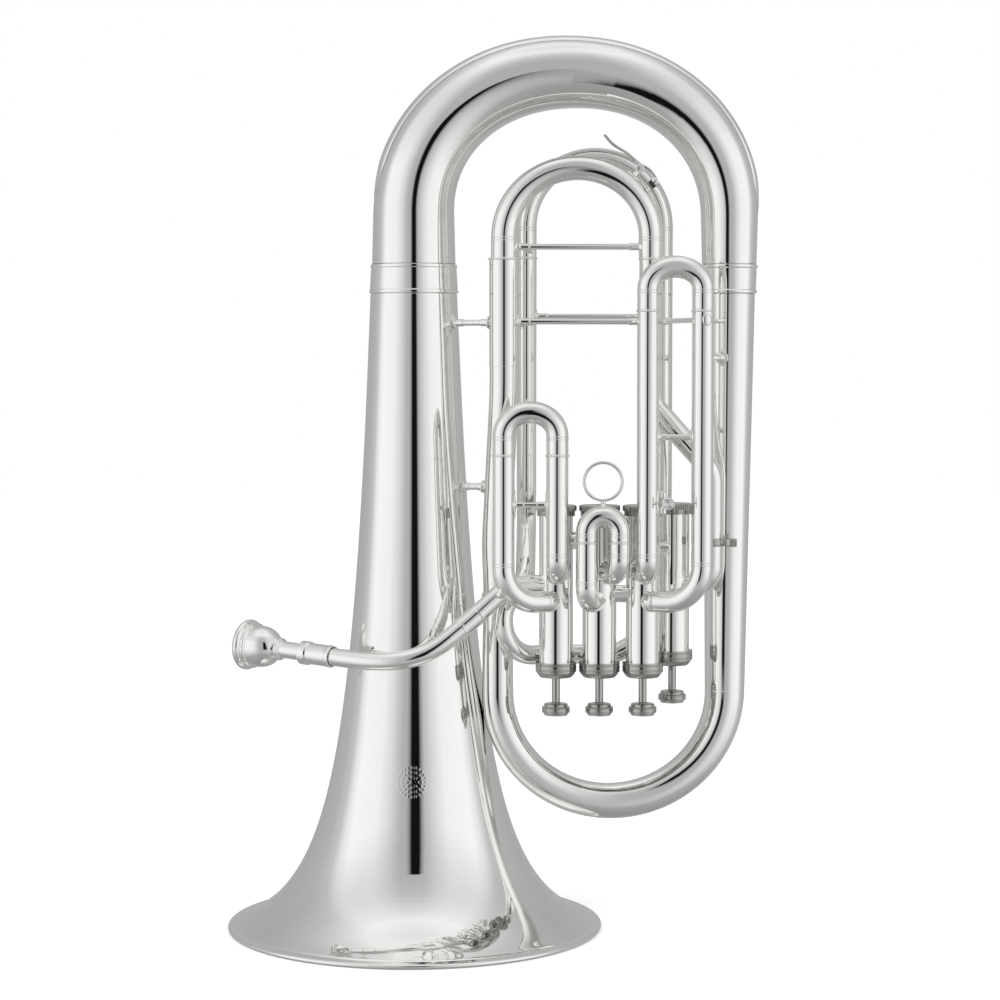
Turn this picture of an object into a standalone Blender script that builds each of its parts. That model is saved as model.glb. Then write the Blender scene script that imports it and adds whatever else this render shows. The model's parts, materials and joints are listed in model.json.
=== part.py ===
"""Four-valve euphonium standing on its bell.

The bell's rim rests on z = 0.  The valve slides and finger buttons face -Y, and the wide bows
run towards +X.  Every place is measured from the bell's axis, in millimetres.  make_object()
turns it into metres and moves it by BELL_AXIS, so that the outline is centred on the origin.
"""

import math

import bmesh
import bpy
from mathutils import Vector

MILLIMETRE = 0.001
GAP = 0.3  # clearance between neighbouring pieces
SIDES = 10  # facets round a slide tube
X_AXIS = Vector((1, 0, 0))
Y_AXIS = Vector((0, 1, 0))
Z_AXIS = Vector((0, 0, 1))
BELL_AXIS = Vector((-58.5, 0, 0))  # from the middle of the outline to the bell's axis

# Bell
RIM_RADIUS = 140.0
RIM_BEAD = 1.9
BELL_TOP = 484.7
BELL_WALL = 0.8

# Large bows and branches: x, z and outer radii of the conical tubing
BOW_X = 233.8
BOW_SPRING_Z = 531.3
BOW_RISE = 104.4
BOW_SHAPE = 2.1  # exponent of the superellipse
BOW_STEPS = 12
BOW_RADII = (31.2, 19.9)
BRANCH_FOOT_X = 231.9
BRANCH_RADII = (19.3, 14.8)
LOWER_BOW_LEFT = Vector((62.2, -18.8, 0))
LOWER_BOW_Z = 178.0
LOWER_BOW_DROP = 82.0
LOWER_BOW_RADII = (14.8, 10.8)
BRANCH_JOINT_Z = 248.0
FERRULE_Z = (473.0, 495.3)
TUBE_WALL = 0.8
SPIGOT = 1.4  # how far a tube steps down to slip inside a ferrule

# Main tuning slide, in front of the large loop
TUNING_Y = -30.0
TUNING_X = (67.0, 173.7)
TUNING_SLEEVE_Z = (420.0, 498.5)
TUNING_SMALL_SLEEVE_Z = 412.0
TUNING_SLEEVE_RADII = (10.9, 8.1)
TUNING_BOW_Z = 514.0
TUNING_BOW_RISE = 50.0
TUNING_LEG_FOOT = 425.0

# Fourth-valve loop, behind the tuning slide
LOOP_Y = 6.0
LOOP_X = (83.7, 184.9)
LOOP_SLEEVE_TOP = 500.5
LOOP_BOW_Z = 523.0
LOOP_BOW_RISE = 51.0
LOOP_RADIUS = 7.4

# Slides of valves one to three, all in one plane in front of the valves
SLIDE_Y = -70.0
SLIDE_RADIUS = 7.9
SLIDE_WALL = 0.65
HIGH_PORT_Z = 269.5
LOW_PORT_Z = 249.5

# Valves
VALVE_PITCH = 31.7
VALVES = {
    "first": Vector((104.8, -42.0, 0)),
    "second": Vector((104.8 + VALVE_PITCH, -42.0, 0)),
    "third": Vector((104.8 + 2 * VALVE_PITCH, -42.0, 0)),
    "fourth": Vector((191.4, -18.0, 0)),
}
FOURTH_LIFT = 6.2
CASING_RADIUS = 12.4
CASING_BORE = 11.5
CASING_TOP = 316.0
CASING_FOOT = 196.0
CAP_RADIUS = 15.0
PISTON_RADIUS = 11.1
PISTON_Z = (207.0, 276.0)
STEM_RADIUS = 3.0
BUTTON_RADIUS = 10.25
BUTTON_Z = (164.9, 174.0)
PORT_RADIUS = 5.5

SILVER = (0.93, 0.92, 0.89, 1.0)
NICKEL = (0.62, 0.60, 0.56, 1.0)
STEEL = (0.55, 0.56, 0.58, 1.0)
CORK = (0.02, 0.02, 0.02, 1.0)


def clear_scene():
    for item in list(bpy.data.objects):
        bpy.data.objects.remove(item)


def material(name, colour, roughness, metallic):
    made = bpy.data.materials.new(name)
    made.use_nodes = True
    shader = made.node_tree.nodes["Principled BSDF"]
    shader.inputs["Base Color"].default_value = colour
    shader.inputs["Roughness"].default_value = roughness
    shader.inputs["Metallic"].default_value = metallic
    return made


FINISHES = {
    "silver": (SILVER, 0.08, 1.0),
    "nickel": (NICKEL, 0.2, 1.0),
    "steel": (STEEL, 0.3, 1.0),
    "cork": (CORK, 0.7, 0.0),
}


def make_object(name, bm, finish, origin=Vector((0, 0, 0)), helper=False):
    """Turns a bmesh in millimetres into an object in metres whose origin is at `origin`."""
    bmesh.ops.recalc_face_normals(bm, faces=bm.faces)
    for vertex in bm.verts:
        vertex.co = (vertex.co - origin) * MILLIMETRE
    mesh = bpy.data.meshes.new(name)
    bm.to_mesh(mesh)
    bm.free()
    if not helper:
        mesh.shade_smooth()
        mesh.set_sharp_from_angle(angle=math.radians(40))
        mesh.materials.append(material(name + "_finish", *FINISHES[finish]))
    made = bpy.data.objects.new(name, mesh)
    made.location = (BELL_AXIS + origin) * MILLIMETRE
    bpy.context.collection.objects.link(made)
    if helper:
        made.hide_render = True
        made.display_type = "WIRE"
    return made


def attach(child, parent):
    """Parents one object to another and leaves it where it stands."""
    child.parent = parent
    child.location = child.location - parent.location


# Paths: lists of (point, tangent)


def straight(start, end):
    along = (end - start).normalized()
    return [(start, along), (end, along)]


def bent_path(corners, bends, segment=22.5):
    """Straight runs between corners, with an arc of each given radius at each inner corner."""
    path = [(corners[0], (corners[1] - corners[0]).normalized())]
    for before, corner, after, radius in zip(corners, corners[1:], corners[2:], bends):
        inward = (corner - before).normalized()
        outward = (after - corner).normalized()
        turn = inward.angle(outward)
        start = corner - inward * radius * math.tan(turn / 2)
        side = (outward - inward * outward.dot(inward)).normalized()
        steps = max(1, round(math.degrees(turn) / segment))
        for step in range(steps + 1):
            angle = turn * step / steps
            point = start + inward * radius * math.sin(angle) + side * radius * (1 - math.cos(angle))
            path.append((point, inward * math.cos(angle) + side * math.sin(angle)))
    path.append((corners[-1], (corners[-1] - corners[-2]).normalized()))
    return path


def arch_path(start, end, rise, shape=2.0, steps=8):
    """A half superellipse from start to end; a negative rise hangs downwards."""
    centre = (start + end) / 2
    half = (start - end) / 2
    points = []
    for step in range(steps + 1):
        angle = math.pi * step / steps
        across = math.copysign(abs(math.cos(angle)) ** (2 / shape), math.cos(angle))
        points.append(centre + half * across + Z_AXIS * rise * math.sin(angle) ** (2 / shape))
    up = Z_AXIS if rise > 0 else -Z_AXIS
    path = [(points[0], up)]
    for before, point, after in zip(points, points[1:], points[2:]):
        chord_in = (point - before).normalized() / (point - before).length
        chord_out = (after - point).normalized() / (after - point).length
        path.append((point, (chord_in + chord_out).normalized()))
    path.append((points[-1], -up))
    return path


def flowing_path(points, start_tangent, end_tangent, steps=2):
    """A smooth curve through the points."""
    tangents = [start_tangent]
    tangents += [(after - before) / 2 for before, after in zip(points, points[2:])]
    tangents.append(end_tangent)
    path = [(points[0], tangents[0].normalized())]
    for first, last, leaving, arriving in zip(points, points[1:], tangents, tangents[1:]):
        for step in range(1, steps + 1):
            t = step / steps
            point = (
                first * (2 * t**3 - 3 * t**2 + 1)
                + leaving * (t**3 - 2 * t**2 + t)
                + last * (3 * t**2 - 2 * t**3)
                + arriving * (t**3 - t**2)
            )
            tangent = (
                first * (6 * t**2 - 6 * t)
                + leaving * (3 * t**2 - 4 * t + 1)
                + last * (6 * t - 6 * t**2)
                + arriving * (3 * t**2 - 2 * t)
            )
            path.append((point, tangent.normalized()))
    return path


def lengths_of(path):
    """The distance of each path point from the start, from 0 to 1."""
    total = [0.0]
    for (before, _), (after, _) in zip(path, path[1:]):
        total.append(total[-1] + (after - before).length)
    return [length / total[-1] for length in total]


def taper(path, start, end):
    return [start + (end - start) * share for share in lengths_of(path)]


# Skins: closed surfaces through rings of points


def frames_of(path, reference):
    """Two side directions for each path point, carried along without twisting."""
    frames = []
    for _, tangent in path:
        reference = (reference - tangent * reference.dot(tangent)).normalized()
        frames.append((reference, tangent.cross(reference)))
    return frames


def rings_of(path, radii, sides, reference):
    rings = []
    for (point, _), (u, v), radius in zip(path, frames_of(path, reference), radii):
        ring = []
        for side in range(sides):
            angle = 2 * math.pi * side / sides
            ring.append(point + (u * math.cos(angle) + v * math.sin(angle)) * radius)
        rings.append(ring)
    return rings


def skin(rings, closed):
    """A surface through the rings: back to the first ring when closed, or capped at both ends."""
    bm = bmesh.new()
    loops = [[bm.verts.new(point) for point in ring] for ring in rings]
    followers = loops[1:] + loops[:1] if closed else loops[1:]
    for ring, following in zip(loops, followers):
        for side in range(len(ring)):
            other = (side + 1) % len(ring)
            bm.faces.new((ring[side], ring[other], following[other], following[side]))
    if not closed:
        bm.faces.new(loops[0])
        bm.faces.new(loops[-1])
    return bm


def tube(name, path, outer, bore, sides=SIDES, finish="silver", reference=Y_AXIS, origin=None):
    """A hollow tube with open ends, from its outer and bore radii at each path point."""
    rings = rings_of(path, outer, sides, reference)
    rings += reversed(rings_of(path, bore, sides, reference))
    return make_object(name, skin(rings, True), finish, origin or Vector((0, 0, 0)))


def plain_tube(name, path, radii, wall, **settings):
    outer = taper(path, *radii)
    return tube(name, path, outer, [radius - wall for radius in outer], **settings)


def turned(name, base, axis, profile, sides, finish="silver", hollow=True, origin=None, helper=False):
    """Turns a profile of (radius, height) about an axis.  A hollow profile is a closed outline."""
    axis = axis.normalized()
    reference = X_AXIS if abs(axis.x) < 0.9 else Y_AXIS
    path = [(base + axis * height, axis) for _, height in profile]
    rings = rings_of(path, [radius for radius, _ in profile], sides, reference)
    return make_object(name, skin(rings, hollow), finish, origin or Vector((0, 0, 0)), helper)


def rod(name, start, end, radius, sides=8, helper=True, finish="silver"):
    length = (end - start).length
    return turned(
        name, start, end - start, [(radius, 0), (radius, length)], sides, finish, False, None, helper
    )


def combine(target, other, operation):
    cut = target.modifiers.new(other.name, "BOOLEAN")
    cut.operation = operation
    cut.object = other


def towards(start, end, distance):
    """The point this far from start on the way to end."""
    return start + (end - start).normalized() * distance


def at(point, z):
    return Vector((point.x, point.y, z))


# Bell and large bows


def bell_radius(z):
    """Outer radius of the bell: a flare that eases into the conical throat."""
    return 630.0 * (z + 24.6) ** -0.4655 - 0.0061 * z


def bell_outline(steps=10):
    bead_centre = (RIM_RADIUS - RIM_BEAD, RIM_BEAD * math.cos(math.radians(22.5)))
    outer = []
    for step in range(steps + 1):
        z = 4.0 + (FERRULE_Z[0] - 4.0) * (1 - step / steps) ** 2.2
        outer.append((bell_radius(z), z))
    spigot = outer[0][0] - SPIGOT
    bead = []
    for corner in range(6):
        angle = math.radians(67.5 - 45 * corner)
        bead.append(
            (bead_centre[0] + RIM_BEAD * math.cos(angle), bead_centre[1] + RIM_BEAD * math.sin(angle))
        )
    inner = []
    for radius, z in reversed(outer):
        slope = bell_radius(z + 0.5) - bell_radius(z - 0.5)
        scale = BELL_WALL / math.hypot(1, slope)
        inner.append((radius - scale, z + slope * scale))
    return [(spigot, BELL_TOP), (spigot, FERRULE_Z[0])] + outer + bead + inner + [
        (spigot - BELL_WALL, BELL_TOP)
    ]


def make_bell():
    turned("bell", Vector((0, 0, 0)), Z_AXIS, bell_outline(), 20)


def make_ferrule(name, centre, radius_low, radius_high, z_range, sides, bead=1.2):
    """A sleeve over a joint, with a raised bead at each end."""
    low, high = z_range[0] + GAP, z_range[1] - GAP
    width = 2.4
    outline = [
        (radius_low - 0.6, low),
        (radius_low + bead, low + 0.4),
        (radius_low + bead, low + width),
        (radius_low + 0.5, low + width + 0.6),
        (radius_high + 0.5, high - width - 0.6),
        (radius_high + bead, high - width),
        (radius_high + bead, high - 0.4),
        (radius_high - 0.6, high),
    ]
    return turned(name, centre, Z_AXIS, outline, sides)


def spigot_tube(name, path, radii, spigots, sides):
    """A conical tube whose ends, where marked, step down to slip inside a ferrule."""
    outer = taper(path, *radii)
    bore = [radius - TUBE_WALL - SPIGOT for radius in outer]
    for index in spigots:
        outer[index] = outer[index] - SPIGOT
    return tube(name, path, outer, bore, sides)


def make_top_bow():
    foot = BELL_TOP + GAP
    left = Vector((0, 0, 0))
    right = Vector((BOW_X, 0, 0))
    path = [(at(left, foot), Z_AXIS)]
    path += [(at(left, FERRULE_Z[1]), Z_AXIS), (at(left, FERRULE_Z[1]), Z_AXIS)]
    path += arch_path(at(left, BOW_SPRING_Z), at(right, BOW_SPRING_Z), BOW_RISE, BOW_SHAPE, BOW_STEPS)
    path += [(at(right, FERRULE_Z[1]), -Z_AXIS), (at(right, FERRULE_Z[1]), -Z_AXIS)]
    path.append((at(right, foot), -Z_AXIS))
    spigot_tube("top_bow", path, BOW_RADII, (0, 1, -2, -1), 14)


def make_bow_guard():
    """A thin plate that wraps the outside of the top bow."""
    left = Vector((0, 0, BOW_SPRING_Z))
    right = Vector((BOW_X, 0, BOW_SPRING_Z))
    path = arch_path(left, right, BOW_RISE, BOW_SHAPE, BOW_STEPS)
    outer_radii = taper(path, BOW_RADII[0] - 1.1, BOW_RADII[1] + 1.1)
    half_angle = math.radians(27)
    rings = []
    for (point, tangent), radius in zip(path, outer_radii):
        outward = Y_AXIS.cross(tangent)
        outward = outward if outward.dot(point - (left + right) / 2) > 0 else -outward
        ring = []
        for reach, order in ((1.0, (-1, -0.33, 0.33, 1)), (2.3, (1, 0.33, -0.33, -1))):
            for share in order:
                angle = half_angle * share
                spoke = outward * math.cos(angle) + Y_AXIS * math.sin(angle)
                ring.append(point + spoke * (radius + reach))
        rings.append(ring)
    make_object("bow_guard", skin(rings, False), "silver")


def make_outer_branch():
    top = Vector((BOW_X, 0, BELL_TOP))
    below_ferrule = Vector((BOW_X, 0, FERRULE_Z[0]))
    foot = Vector((BRANCH_FOOT_X, 0, LOWER_BOW_Z + GAP))
    path = [(top, -Z_AXIS), (below_ferrule, -Z_AXIS), (below_ferrule, -Z_AXIS), (foot, -Z_AXIS)]
    spigot_tube("outer_branch", path, BRANCH_RADII, (0, 1), 14)


def make_lower_bow():
    right = Vector((BRANCH_FOOT_X, 0, LOWER_BOW_Z))
    left = at(LOWER_BOW_LEFT, LOWER_BOW_Z)
    path = arch_path(right, left, -LOWER_BOW_DROP, 2.0, 10)
    path.append((at(left, BRANCH_JOINT_Z - GAP), Z_AXIS))
    plain_tube("lower_bow", path, LOWER_BOW_RADII, TUBE_WALL, sides=12)


def third_branch_path():
    """Leaves the lower bow upright, leans forward and right, and meets its sleeve upright."""
    foot = at(LOWER_BOW_LEFT, BRANCH_JOINT_Z)
    knee = foot + Vector((-1.2, -1.5, 40))
    top = Vector((TUNING_X[0], TUNING_Y, TUNING_SLEEVE_Z[0] - GAP))
    corners = [foot, foot + Z_AXIS * 12, knee, top - Z_AXIS * 20, top]
    return bent_path(corners, [200, 200, 200], 6)


def make_third_branch():
    plain_tube("third_branch", third_branch_path(), (10.7, 10.7), TUBE_WALL, sides=12)
    centre = Vector((LOWER_BOW_LEFT.x, LOWER_BOW_LEFT.y, 0))
    outline = [(11.2, 243.5), (11.9, 244.3), (11.9, 251.7), (11.2, 252.5)]
    turned("branch_ferrule", centre, Z_AXIS, outline, 12)


# Slides


def u_slide(name, left, right, leg_feet, shoulder, bow_z, rise, radii, leg_radii, wall=SLIDE_WALL):
    """A U-shaped slide: two thin legs that run in sleeves, under a bow of full-size tube."""
    path = [
        (at(left, leg_feet[0]), Z_AXIS),
        (at(left, shoulder), Z_AXIS),
        (at(left, shoulder), Z_AXIS),
    ]
    path += arch_path(at(left, bow_z), at(right, bow_z), rise)
    path += [
        (at(right, shoulder), -Z_AXIS),
        (at(right, shoulder), -Z_AXIS),
        (at(right, leg_feet[1]), -Z_AXIS),
    ]
    share = lengths_of(path)
    outer = [radii[0] + (radii[1] - radii[0]) * t**0.6 for t in share]
    bore = [leg_radii[0] - wall + (leg_radii[1] - leg_radii[0]) * t**0.6 for t in share]
    outer[0:2] = [leg_radii[0]] * 2
    outer[-2:] = [leg_radii[1]] * 2
    bore[0:3] = [leg_radii[0] - wall] * 3
    bore[-3:] = [leg_radii[1] - wall] * 3
    return tube(name, path, outer, bore, origin=at((left + right) / 2, shoulder))


def sleeve_radii(radius):
    """Outer radii of a sleeve and of the leg that slides in it."""
    return radius, radius - SLIDE_WALL - GAP - 0.05


def knuckle(name, leg, top, corner_z, target, bend, radius=SLIDE_RADIUS):
    """A sleeve that comes down and turns into a valve casing."""
    corner = at(leg, corner_z)
    end = entry_point(corner, at(target, corner_z), target)
    path = bent_path([at(leg, top), corner, end], [bend])
    return plain_tube(name, path, (radius, radius), SLIDE_WALL)


def entry_point(start, aim, valve):
    """Where a tube heading from start to aim has to stop so that its flat end clears the casing."""
    along = (aim - start).normalized()
    depth = (at(valve, start.z) - start).dot(along)
    return start + along * (depth - CASING_RADIUS - 0.45)


def slide_brace(target, start, end, reach_start, reach_end, radius=1.9):
    """A rod fused into the wall of the first tube that stops a gap short of the second."""
    direction = (end - start).normalized()
    middle_of_wall = reach_start * math.cos(math.pi / SIDES) - SLIDE_WALL / 2
    foot = start + direction * middle_of_wall
    tip = end - direction * (reach_end + GAP)
    combine(target, rod(target.name + "_brace", foot, tip, radius), "UNION")


def make_first_slide():
    left = Vector((66.5, SLIDE_Y, 0))
    right = Vector((105.0, SLIDE_Y, 0))
    outer, leg = sleeve_radii(SLIDE_RADIUS)
    top = 356.5
    valve = VALVES["first"]
    corner = at(left, LOW_PORT_Z)
    aim = at(valve, LOW_PORT_Z) + Vector((-4.3, -11.6, 0))
    path = bent_path([at(left, top), corner, entry_point(corner, aim, valve)], [26])
    inlet = plain_tube("first_slide_inlet_tube", path, (outer, outer), SLIDE_WALL)
    slide_brace(inlet, at(left, 320.5), at(right, 320.5), outer, outer)
    knuckle("first_slide_outlet_tube", right, top, HIGH_PORT_Z, valve, 13)
    u_slide(
        "first_slide", left, right, (290, 290), top + GAP, 370, 16.9, (outer, outer), (leg, leg)
    )


def make_second_slide():
    left = Vector((126.2, SLIDE_Y, 0))
    right = Vector((149.7, SLIDE_Y, 0))
    outer, leg = sleeve_radii(SLIDE_RADIUS)
    top = 294.2
    valve = VALVES["second"]
    knuckle("second_slide_inlet_tube", left, top, LOW_PORT_Z, valve, 13)
    knuckle("second_slide_outlet_tube", right, top, HIGH_PORT_Z, valve, 13)
    slide = u_slide(
        "second_slide", left, right, (266, 284.5), top + GAP, 300.4, 11.7, (outer, outer), (leg, leg)
    )
    make_pull_ring(slide, (left + right) / 2, 319.6)


def make_pull_ring(slide, centre, crown):
    """A wire ring on a short post, fused to the slide's crown."""
    ring_radius = 13.6
    wire = 1.15
    middle = at(centre, crown + 3.0 + ring_radius + wire)
    rings = []
    for step in range(16):
        angle = 2 * math.pi * step / 16
        outward = X_AXIS * math.cos(angle) + Z_AXIS * math.sin(angle)
        hoop_point = middle + outward * ring_radius
        ring = []
        for side in range(5):
            turn = 2 * math.pi * side / 5
            ring.append(hoop_point + (outward * math.cos(turn) + Y_AXIS * math.sin(turn)) * wire)
        rings.append(ring)
    hoop = make_object("pull_ring", skin(rings, True), "silver", helper=True)
    post = rod("pull_ring_post", at(centre, crown - 0.4), at(centre, crown + 3.4), 1.4)
    combine(slide, post, "UNION")
    combine(slide, hoop, "UNION")
    for helper in (hoop, post):
        attach(helper, slide)


def make_third_slide():
    left = Vector((169.9, SLIDE_Y, 0))
    right = Vector((209.0, SLIDE_Y, 0))
    outer, leg = sleeve_radii(SLIDE_RADIUS)
    top = 460.0
    valve = VALVES["third"]
    inlet = knuckle("third_slide_inlet_tube", left, top, HIGH_PORT_Z, valve, 13)
    slide_brace(inlet, at(left, 369.2), at(right, 369.2), outer, outer)
    corner = at(right, LOW_PORT_Z)
    aim = at(valve, LOW_PORT_Z) + Vector((4.4, -11.6, 0))
    path = bent_path([at(right, top), corner, entry_point(corner, aim, valve)], [27])
    outlet = plain_tube("third_slide_outlet_tube", path, (outer, outer), SLIDE_WALL)
    loop_leg = Vector((LOOP_X[1], LOOP_Y, 453))
    slide_brace(outlet, at(right, 453), loop_leg, outer, LOOP_RADIUS)
    u_slide(
        "third_slide", left, right, (330, 330), top + GAP, 475, 15.7, (outer, outer), (leg, leg)
    )


def make_tuning_slide():
    left = Vector((TUNING_X[0], TUNING_Y, 0))
    right = Vector((TUNING_X[1], TUNING_Y, 0))
    top = TUNING_SLEEVE_Z[1]
    large, small = TUNING_SLEEVE_RADII
    sleeve = plain_tube(
        "large_tuning_sleeve",
        straight(at(left, top), at(left, TUNING_SLEEVE_Z[0])),
        (large, large),
        SLIDE_WALL,
    )
    slide_brace(sleeve, at(left, 452.4), at(right, 452.4), large, small, 2.2)
    plain_tube(
        "small_tuning_sleeve",
        straight(at(right, top), at(right, TUNING_SMALL_SLEEVE_Z)),
        (small, small),
        SLIDE_WALL,
    )
    legs = (sleeve_radii(large)[1], sleeve_radii(small)[1])
    feet = (TUNING_LEG_FOOT, TUNING_LEG_FOOT)
    slide = u_slide(
        "main_tuning_slide",
        left,
        right,
        feet,
        top + GAP,
        TUNING_BOW_Z,
        TUNING_BOW_RISE,
        (large - 0.2, small),
        legs,
    )
    brace = rod(
        "tuning_slide_brace", at(left, 506.7) + X_AXIS * 10.2, at(right, 506.7) - X_AXIS * 7.6, 2.1
    )
    combine(slide, brace, "UNION")
    attach(brace, slide)


# Fourth-valve loop and the tube from the fourth valve to the tuning slide


def make_fourth_loop():
    left = Vector((LOOP_X[0], LOOP_Y, 0))
    right = Vector((LOOP_X[1], LOOP_Y, 0))
    valve = VALVES["fourth"]
    port_z = 222.5
    run_z = 207.0
    behind_y = -19.3
    front = Vector((66.3, -39.5, 0))
    corners = [
        at(left, LOOP_SLEEVE_TOP),
        at(left, 302),
        Vector((82.5, -29, 263)),
        at(front, 243),
        at(front, run_z),
        Vector((97, behind_y, run_z)),
        Vector((150, behind_y, run_z)),
        Vector((valve.x - CASING_RADIUS - 4.2, valve.y - 1, port_z)),
    ]
    path = bent_path(corners, [25, 20, 20, 27, 25, 25])
    inlet = plain_tube("fourth_loop_inlet_tube", path, (LOOP_RADIUS, 7.0), SLIDE_WALL)
    slide_brace(inlet, at(left, 456.9), at(right, 456.9), LOOP_RADIUS, LOOP_RADIUS, 1.7)
    outlet_path = bent_path(
        [
            at(right, LOOP_SLEEVE_TOP),
            at(right, 275),
            towards(at(right, 275), at(valve, 275), 12.0),
        ],
        [11],
    )
    plain_tube("fourth_loop_outlet_tube", outlet_path, (LOOP_RADIUS, LOOP_RADIUS), SLIDE_WALL)
    leg = sleeve_radii(LOOP_RADIUS)[1]
    u_slide(
        "fourth_slide",
        left,
        right,
        (465, 465),
        LOOP_SLEEVE_TOP + GAP,
        LOOP_BOW_Z,
        LOOP_BOW_RISE,
        (LOOP_RADIUS, LOOP_RADIUS),
        (leg, leg),
    )


def make_tail_tube():
    valve = VALVES["fourth"]
    riser = Vector((219.5, TUNING_Y - 1, 0))
    top = Vector((TUNING_X[1], TUNING_Y, TUNING_SMALL_SLEEVE_Z - GAP))
    port_z = 258.0
    end = towards(at(riser, port_z), at(valve, port_z), 18.0)
    corners = [top, at(top, 393.5), at(riser, 342.8), at(riser, port_z), end]
    path = bent_path(corners, [22, 22, 16])
    plain_tube("tail_tube", path, (8.0, 7.5), SLIDE_WALL)


# Valves


def valve_lift(name):
    return FOURTH_LIFT if name == "fourth" else 0.0


def link_directions():
    """For each link between two casings: the valve it leaves, the one it reaches and its height."""
    return (("first", "second", 293.0), ("second", "third", 254.0), ("third", "fourth", 286.0))


def port_list():
    """For each valve, the (direction, height) of every port in its casing wall."""
    front = -Y_AXIS
    ports = {
        "first": [
            (Vector((-1, -0.2, 0)), 261.0),
            (Vector((-0.35, -0.94, 0)), LOW_PORT_Z),
            (front, HIGH_PORT_Z),
        ],
        "second": [(Vector((-0.36, -0.93, 0)), LOW_PORT_Z), (Vector((0.41, -0.91, 0)), HIGH_PORT_Z)],
        "third": [(Vector((0.06, -1, 0)), HIGH_PORT_Z), (Vector((0.37, -0.93, 0)), LOW_PORT_Z)],
        "fourth": [
            (Vector((-1, -0.07, 0)), 222.5),
            (Vector((-0.26, 0.97, 0)), 275.0),
            (Vector((0.91, -0.42, 0)), 258.0),
        ],
    }
    for leaving, reaching, height in link_directions():
        direction = VALVES[reaching] - VALVES[leaving]
        ports[leaving].append((direction, height))
        ports[reaching].append((-direction, height))
    return ports


def make_casing(name, ports):
    axis = VALVES[name]
    low = CASING_FOOT + valve_lift(name)
    outline = [
        (CASING_BORE, low),
        (CASING_RADIUS, low),
        (CASING_RADIUS, CASING_TOP),
        (CASING_BORE, CASING_TOP),
    ]
    casing = turned(name + "_valve_casing", axis, Z_AXIS, outline, 12)
    for leaving, reaching, height in link_directions():
        if leaving != name:
            continue
        start = at(axis, height)
        end = at(VALVES[reaching], height)
        foot = towards(start, end, CASING_RADIUS - 0.45)
        tip = towards(end, start, CASING_RADIUS + GAP)
        combine(casing, rod(name + "_link", foot, tip, PORT_RADIUS + 0.9, 10), "UNION")
    for number, (direction, height) in enumerate(ports):
        start = at(axis, height)
        end = start + direction.normalized() * (CASING_RADIUS + 14)
        port = rod(f"{name}_port_{number}", start, end, PORT_RADIUS, 8)
        combine(casing, port, "DIFFERENCE")


def make_caps(name):
    axis = VALVES[name]
    low = CASING_FOOT + valve_lift(name) - 3.1
    seat = CASING_RADIUS + GAP + 0.05
    finger_cap = [
        (STEM_RADIUS + 0.4, low),
        (11.6, low),
        (CAP_RADIUS, low + 4.5),
        (CAP_RADIUS, low + 11),
        (seat, low + 11),
        (seat, low + 2.8),
        (STEM_RADIUS + 0.4, low + 2.8),
    ]
    turned(name + "_valve_top_cap", axis, Z_AXIS, finger_cap, 12, "nickel")
    high = CASING_TOP + 3.0
    spring_cap = [
        (2.0, CASING_TOP + GAP),
        (seat, CASING_TOP + GAP),
        (seat, high - 8.0),
        (CAP_RADIUS, high - 8.0),
        (CAP_RADIUS, high - 1.2),
        (CAP_RADIUS - 1.6, high),
        (2.0, high),
    ]
    turned(name + "_valve_bottom_cap", axis, Z_AXIS, spring_cap, 12, "nickel")


def make_piston(name):
    axis = VALVES[name]
    lift = valve_lift(name)
    low, high = (z + lift for z in PISTON_Z)
    button_low, button_high = (z + lift for z in BUTTON_Z)
    origin = at(axis, low)
    outline = [
        (STEM_RADIUS, button_high + GAP),
        (STEM_RADIUS, low),
        (PISTON_RADIUS, low),
        (PISTON_RADIUS, high),
    ]
    piston = turned(name + "_piston", axis, Z_AXIS, outline, 12, "nickel", False, origin)
    for number, direction in enumerate((X_AXIS, Y_AXIS)):
        centre = at(axis, low + 18 + 30 * number)
        reach = direction * (PISTON_RADIUS + 2)
        passage = rod(f"{name}_passage_{number}", centre - reach, centre + reach, PORT_RADIUS)
        combine(piston, passage, "DIFFERENCE")
        attach(passage, piston)
    button_outline = [
        (BUTTON_RADIUS - 2.2, button_low),
        (BUTTON_RADIUS, button_low + 1.4),
        (BUTTON_RADIUS, button_low + 4.4),
        (BUTTON_RADIUS - 3.0, button_low + 5.6),
        (5.0, button_high),
    ]
    button = turned(
        name + "_finger_button", axis, Z_AXIS, button_outline, 12, "nickel", False, at(axis, button_low)
    )
    attach(button, piston)
    make_spring(name, axis, high + GAP, CASING_TOP)


def make_spring(name, axis, low, high, turns=4, wire=0.8):
    """A coil between the piston and the bottom cap."""
    steps = turns * 7
    path = []
    for step in range(steps + 1):
        angle = 2 * math.pi * turns * step / steps
        radial = Vector((math.cos(angle), math.sin(angle), 0))
        rise = low + wire + (high - low - 2 * wire) * step / steps
        tangent = Vector((-math.sin(angle), math.cos(angle), 0.12)).normalized()
        path.append((at(axis, rise) + radial * 8.0, tangent))
    rings = rings_of(path, [wire] * len(path), 4, Z_AXIS)
    make_object(name + "_valve_spring", skin(rings, False), "steel", at(axis, low))


# Leadpipe, receiver and mouthpiece

RECEIVER_START = Vector((-58.0, -44.0, 207.9))
RECEIVER_AXIS = Vector((-0.857, 0.515, 0.06)).normalized()
RECEIVER_LENGTH = 27.0
MOUTHPIECE_REACH = 79.6


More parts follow.
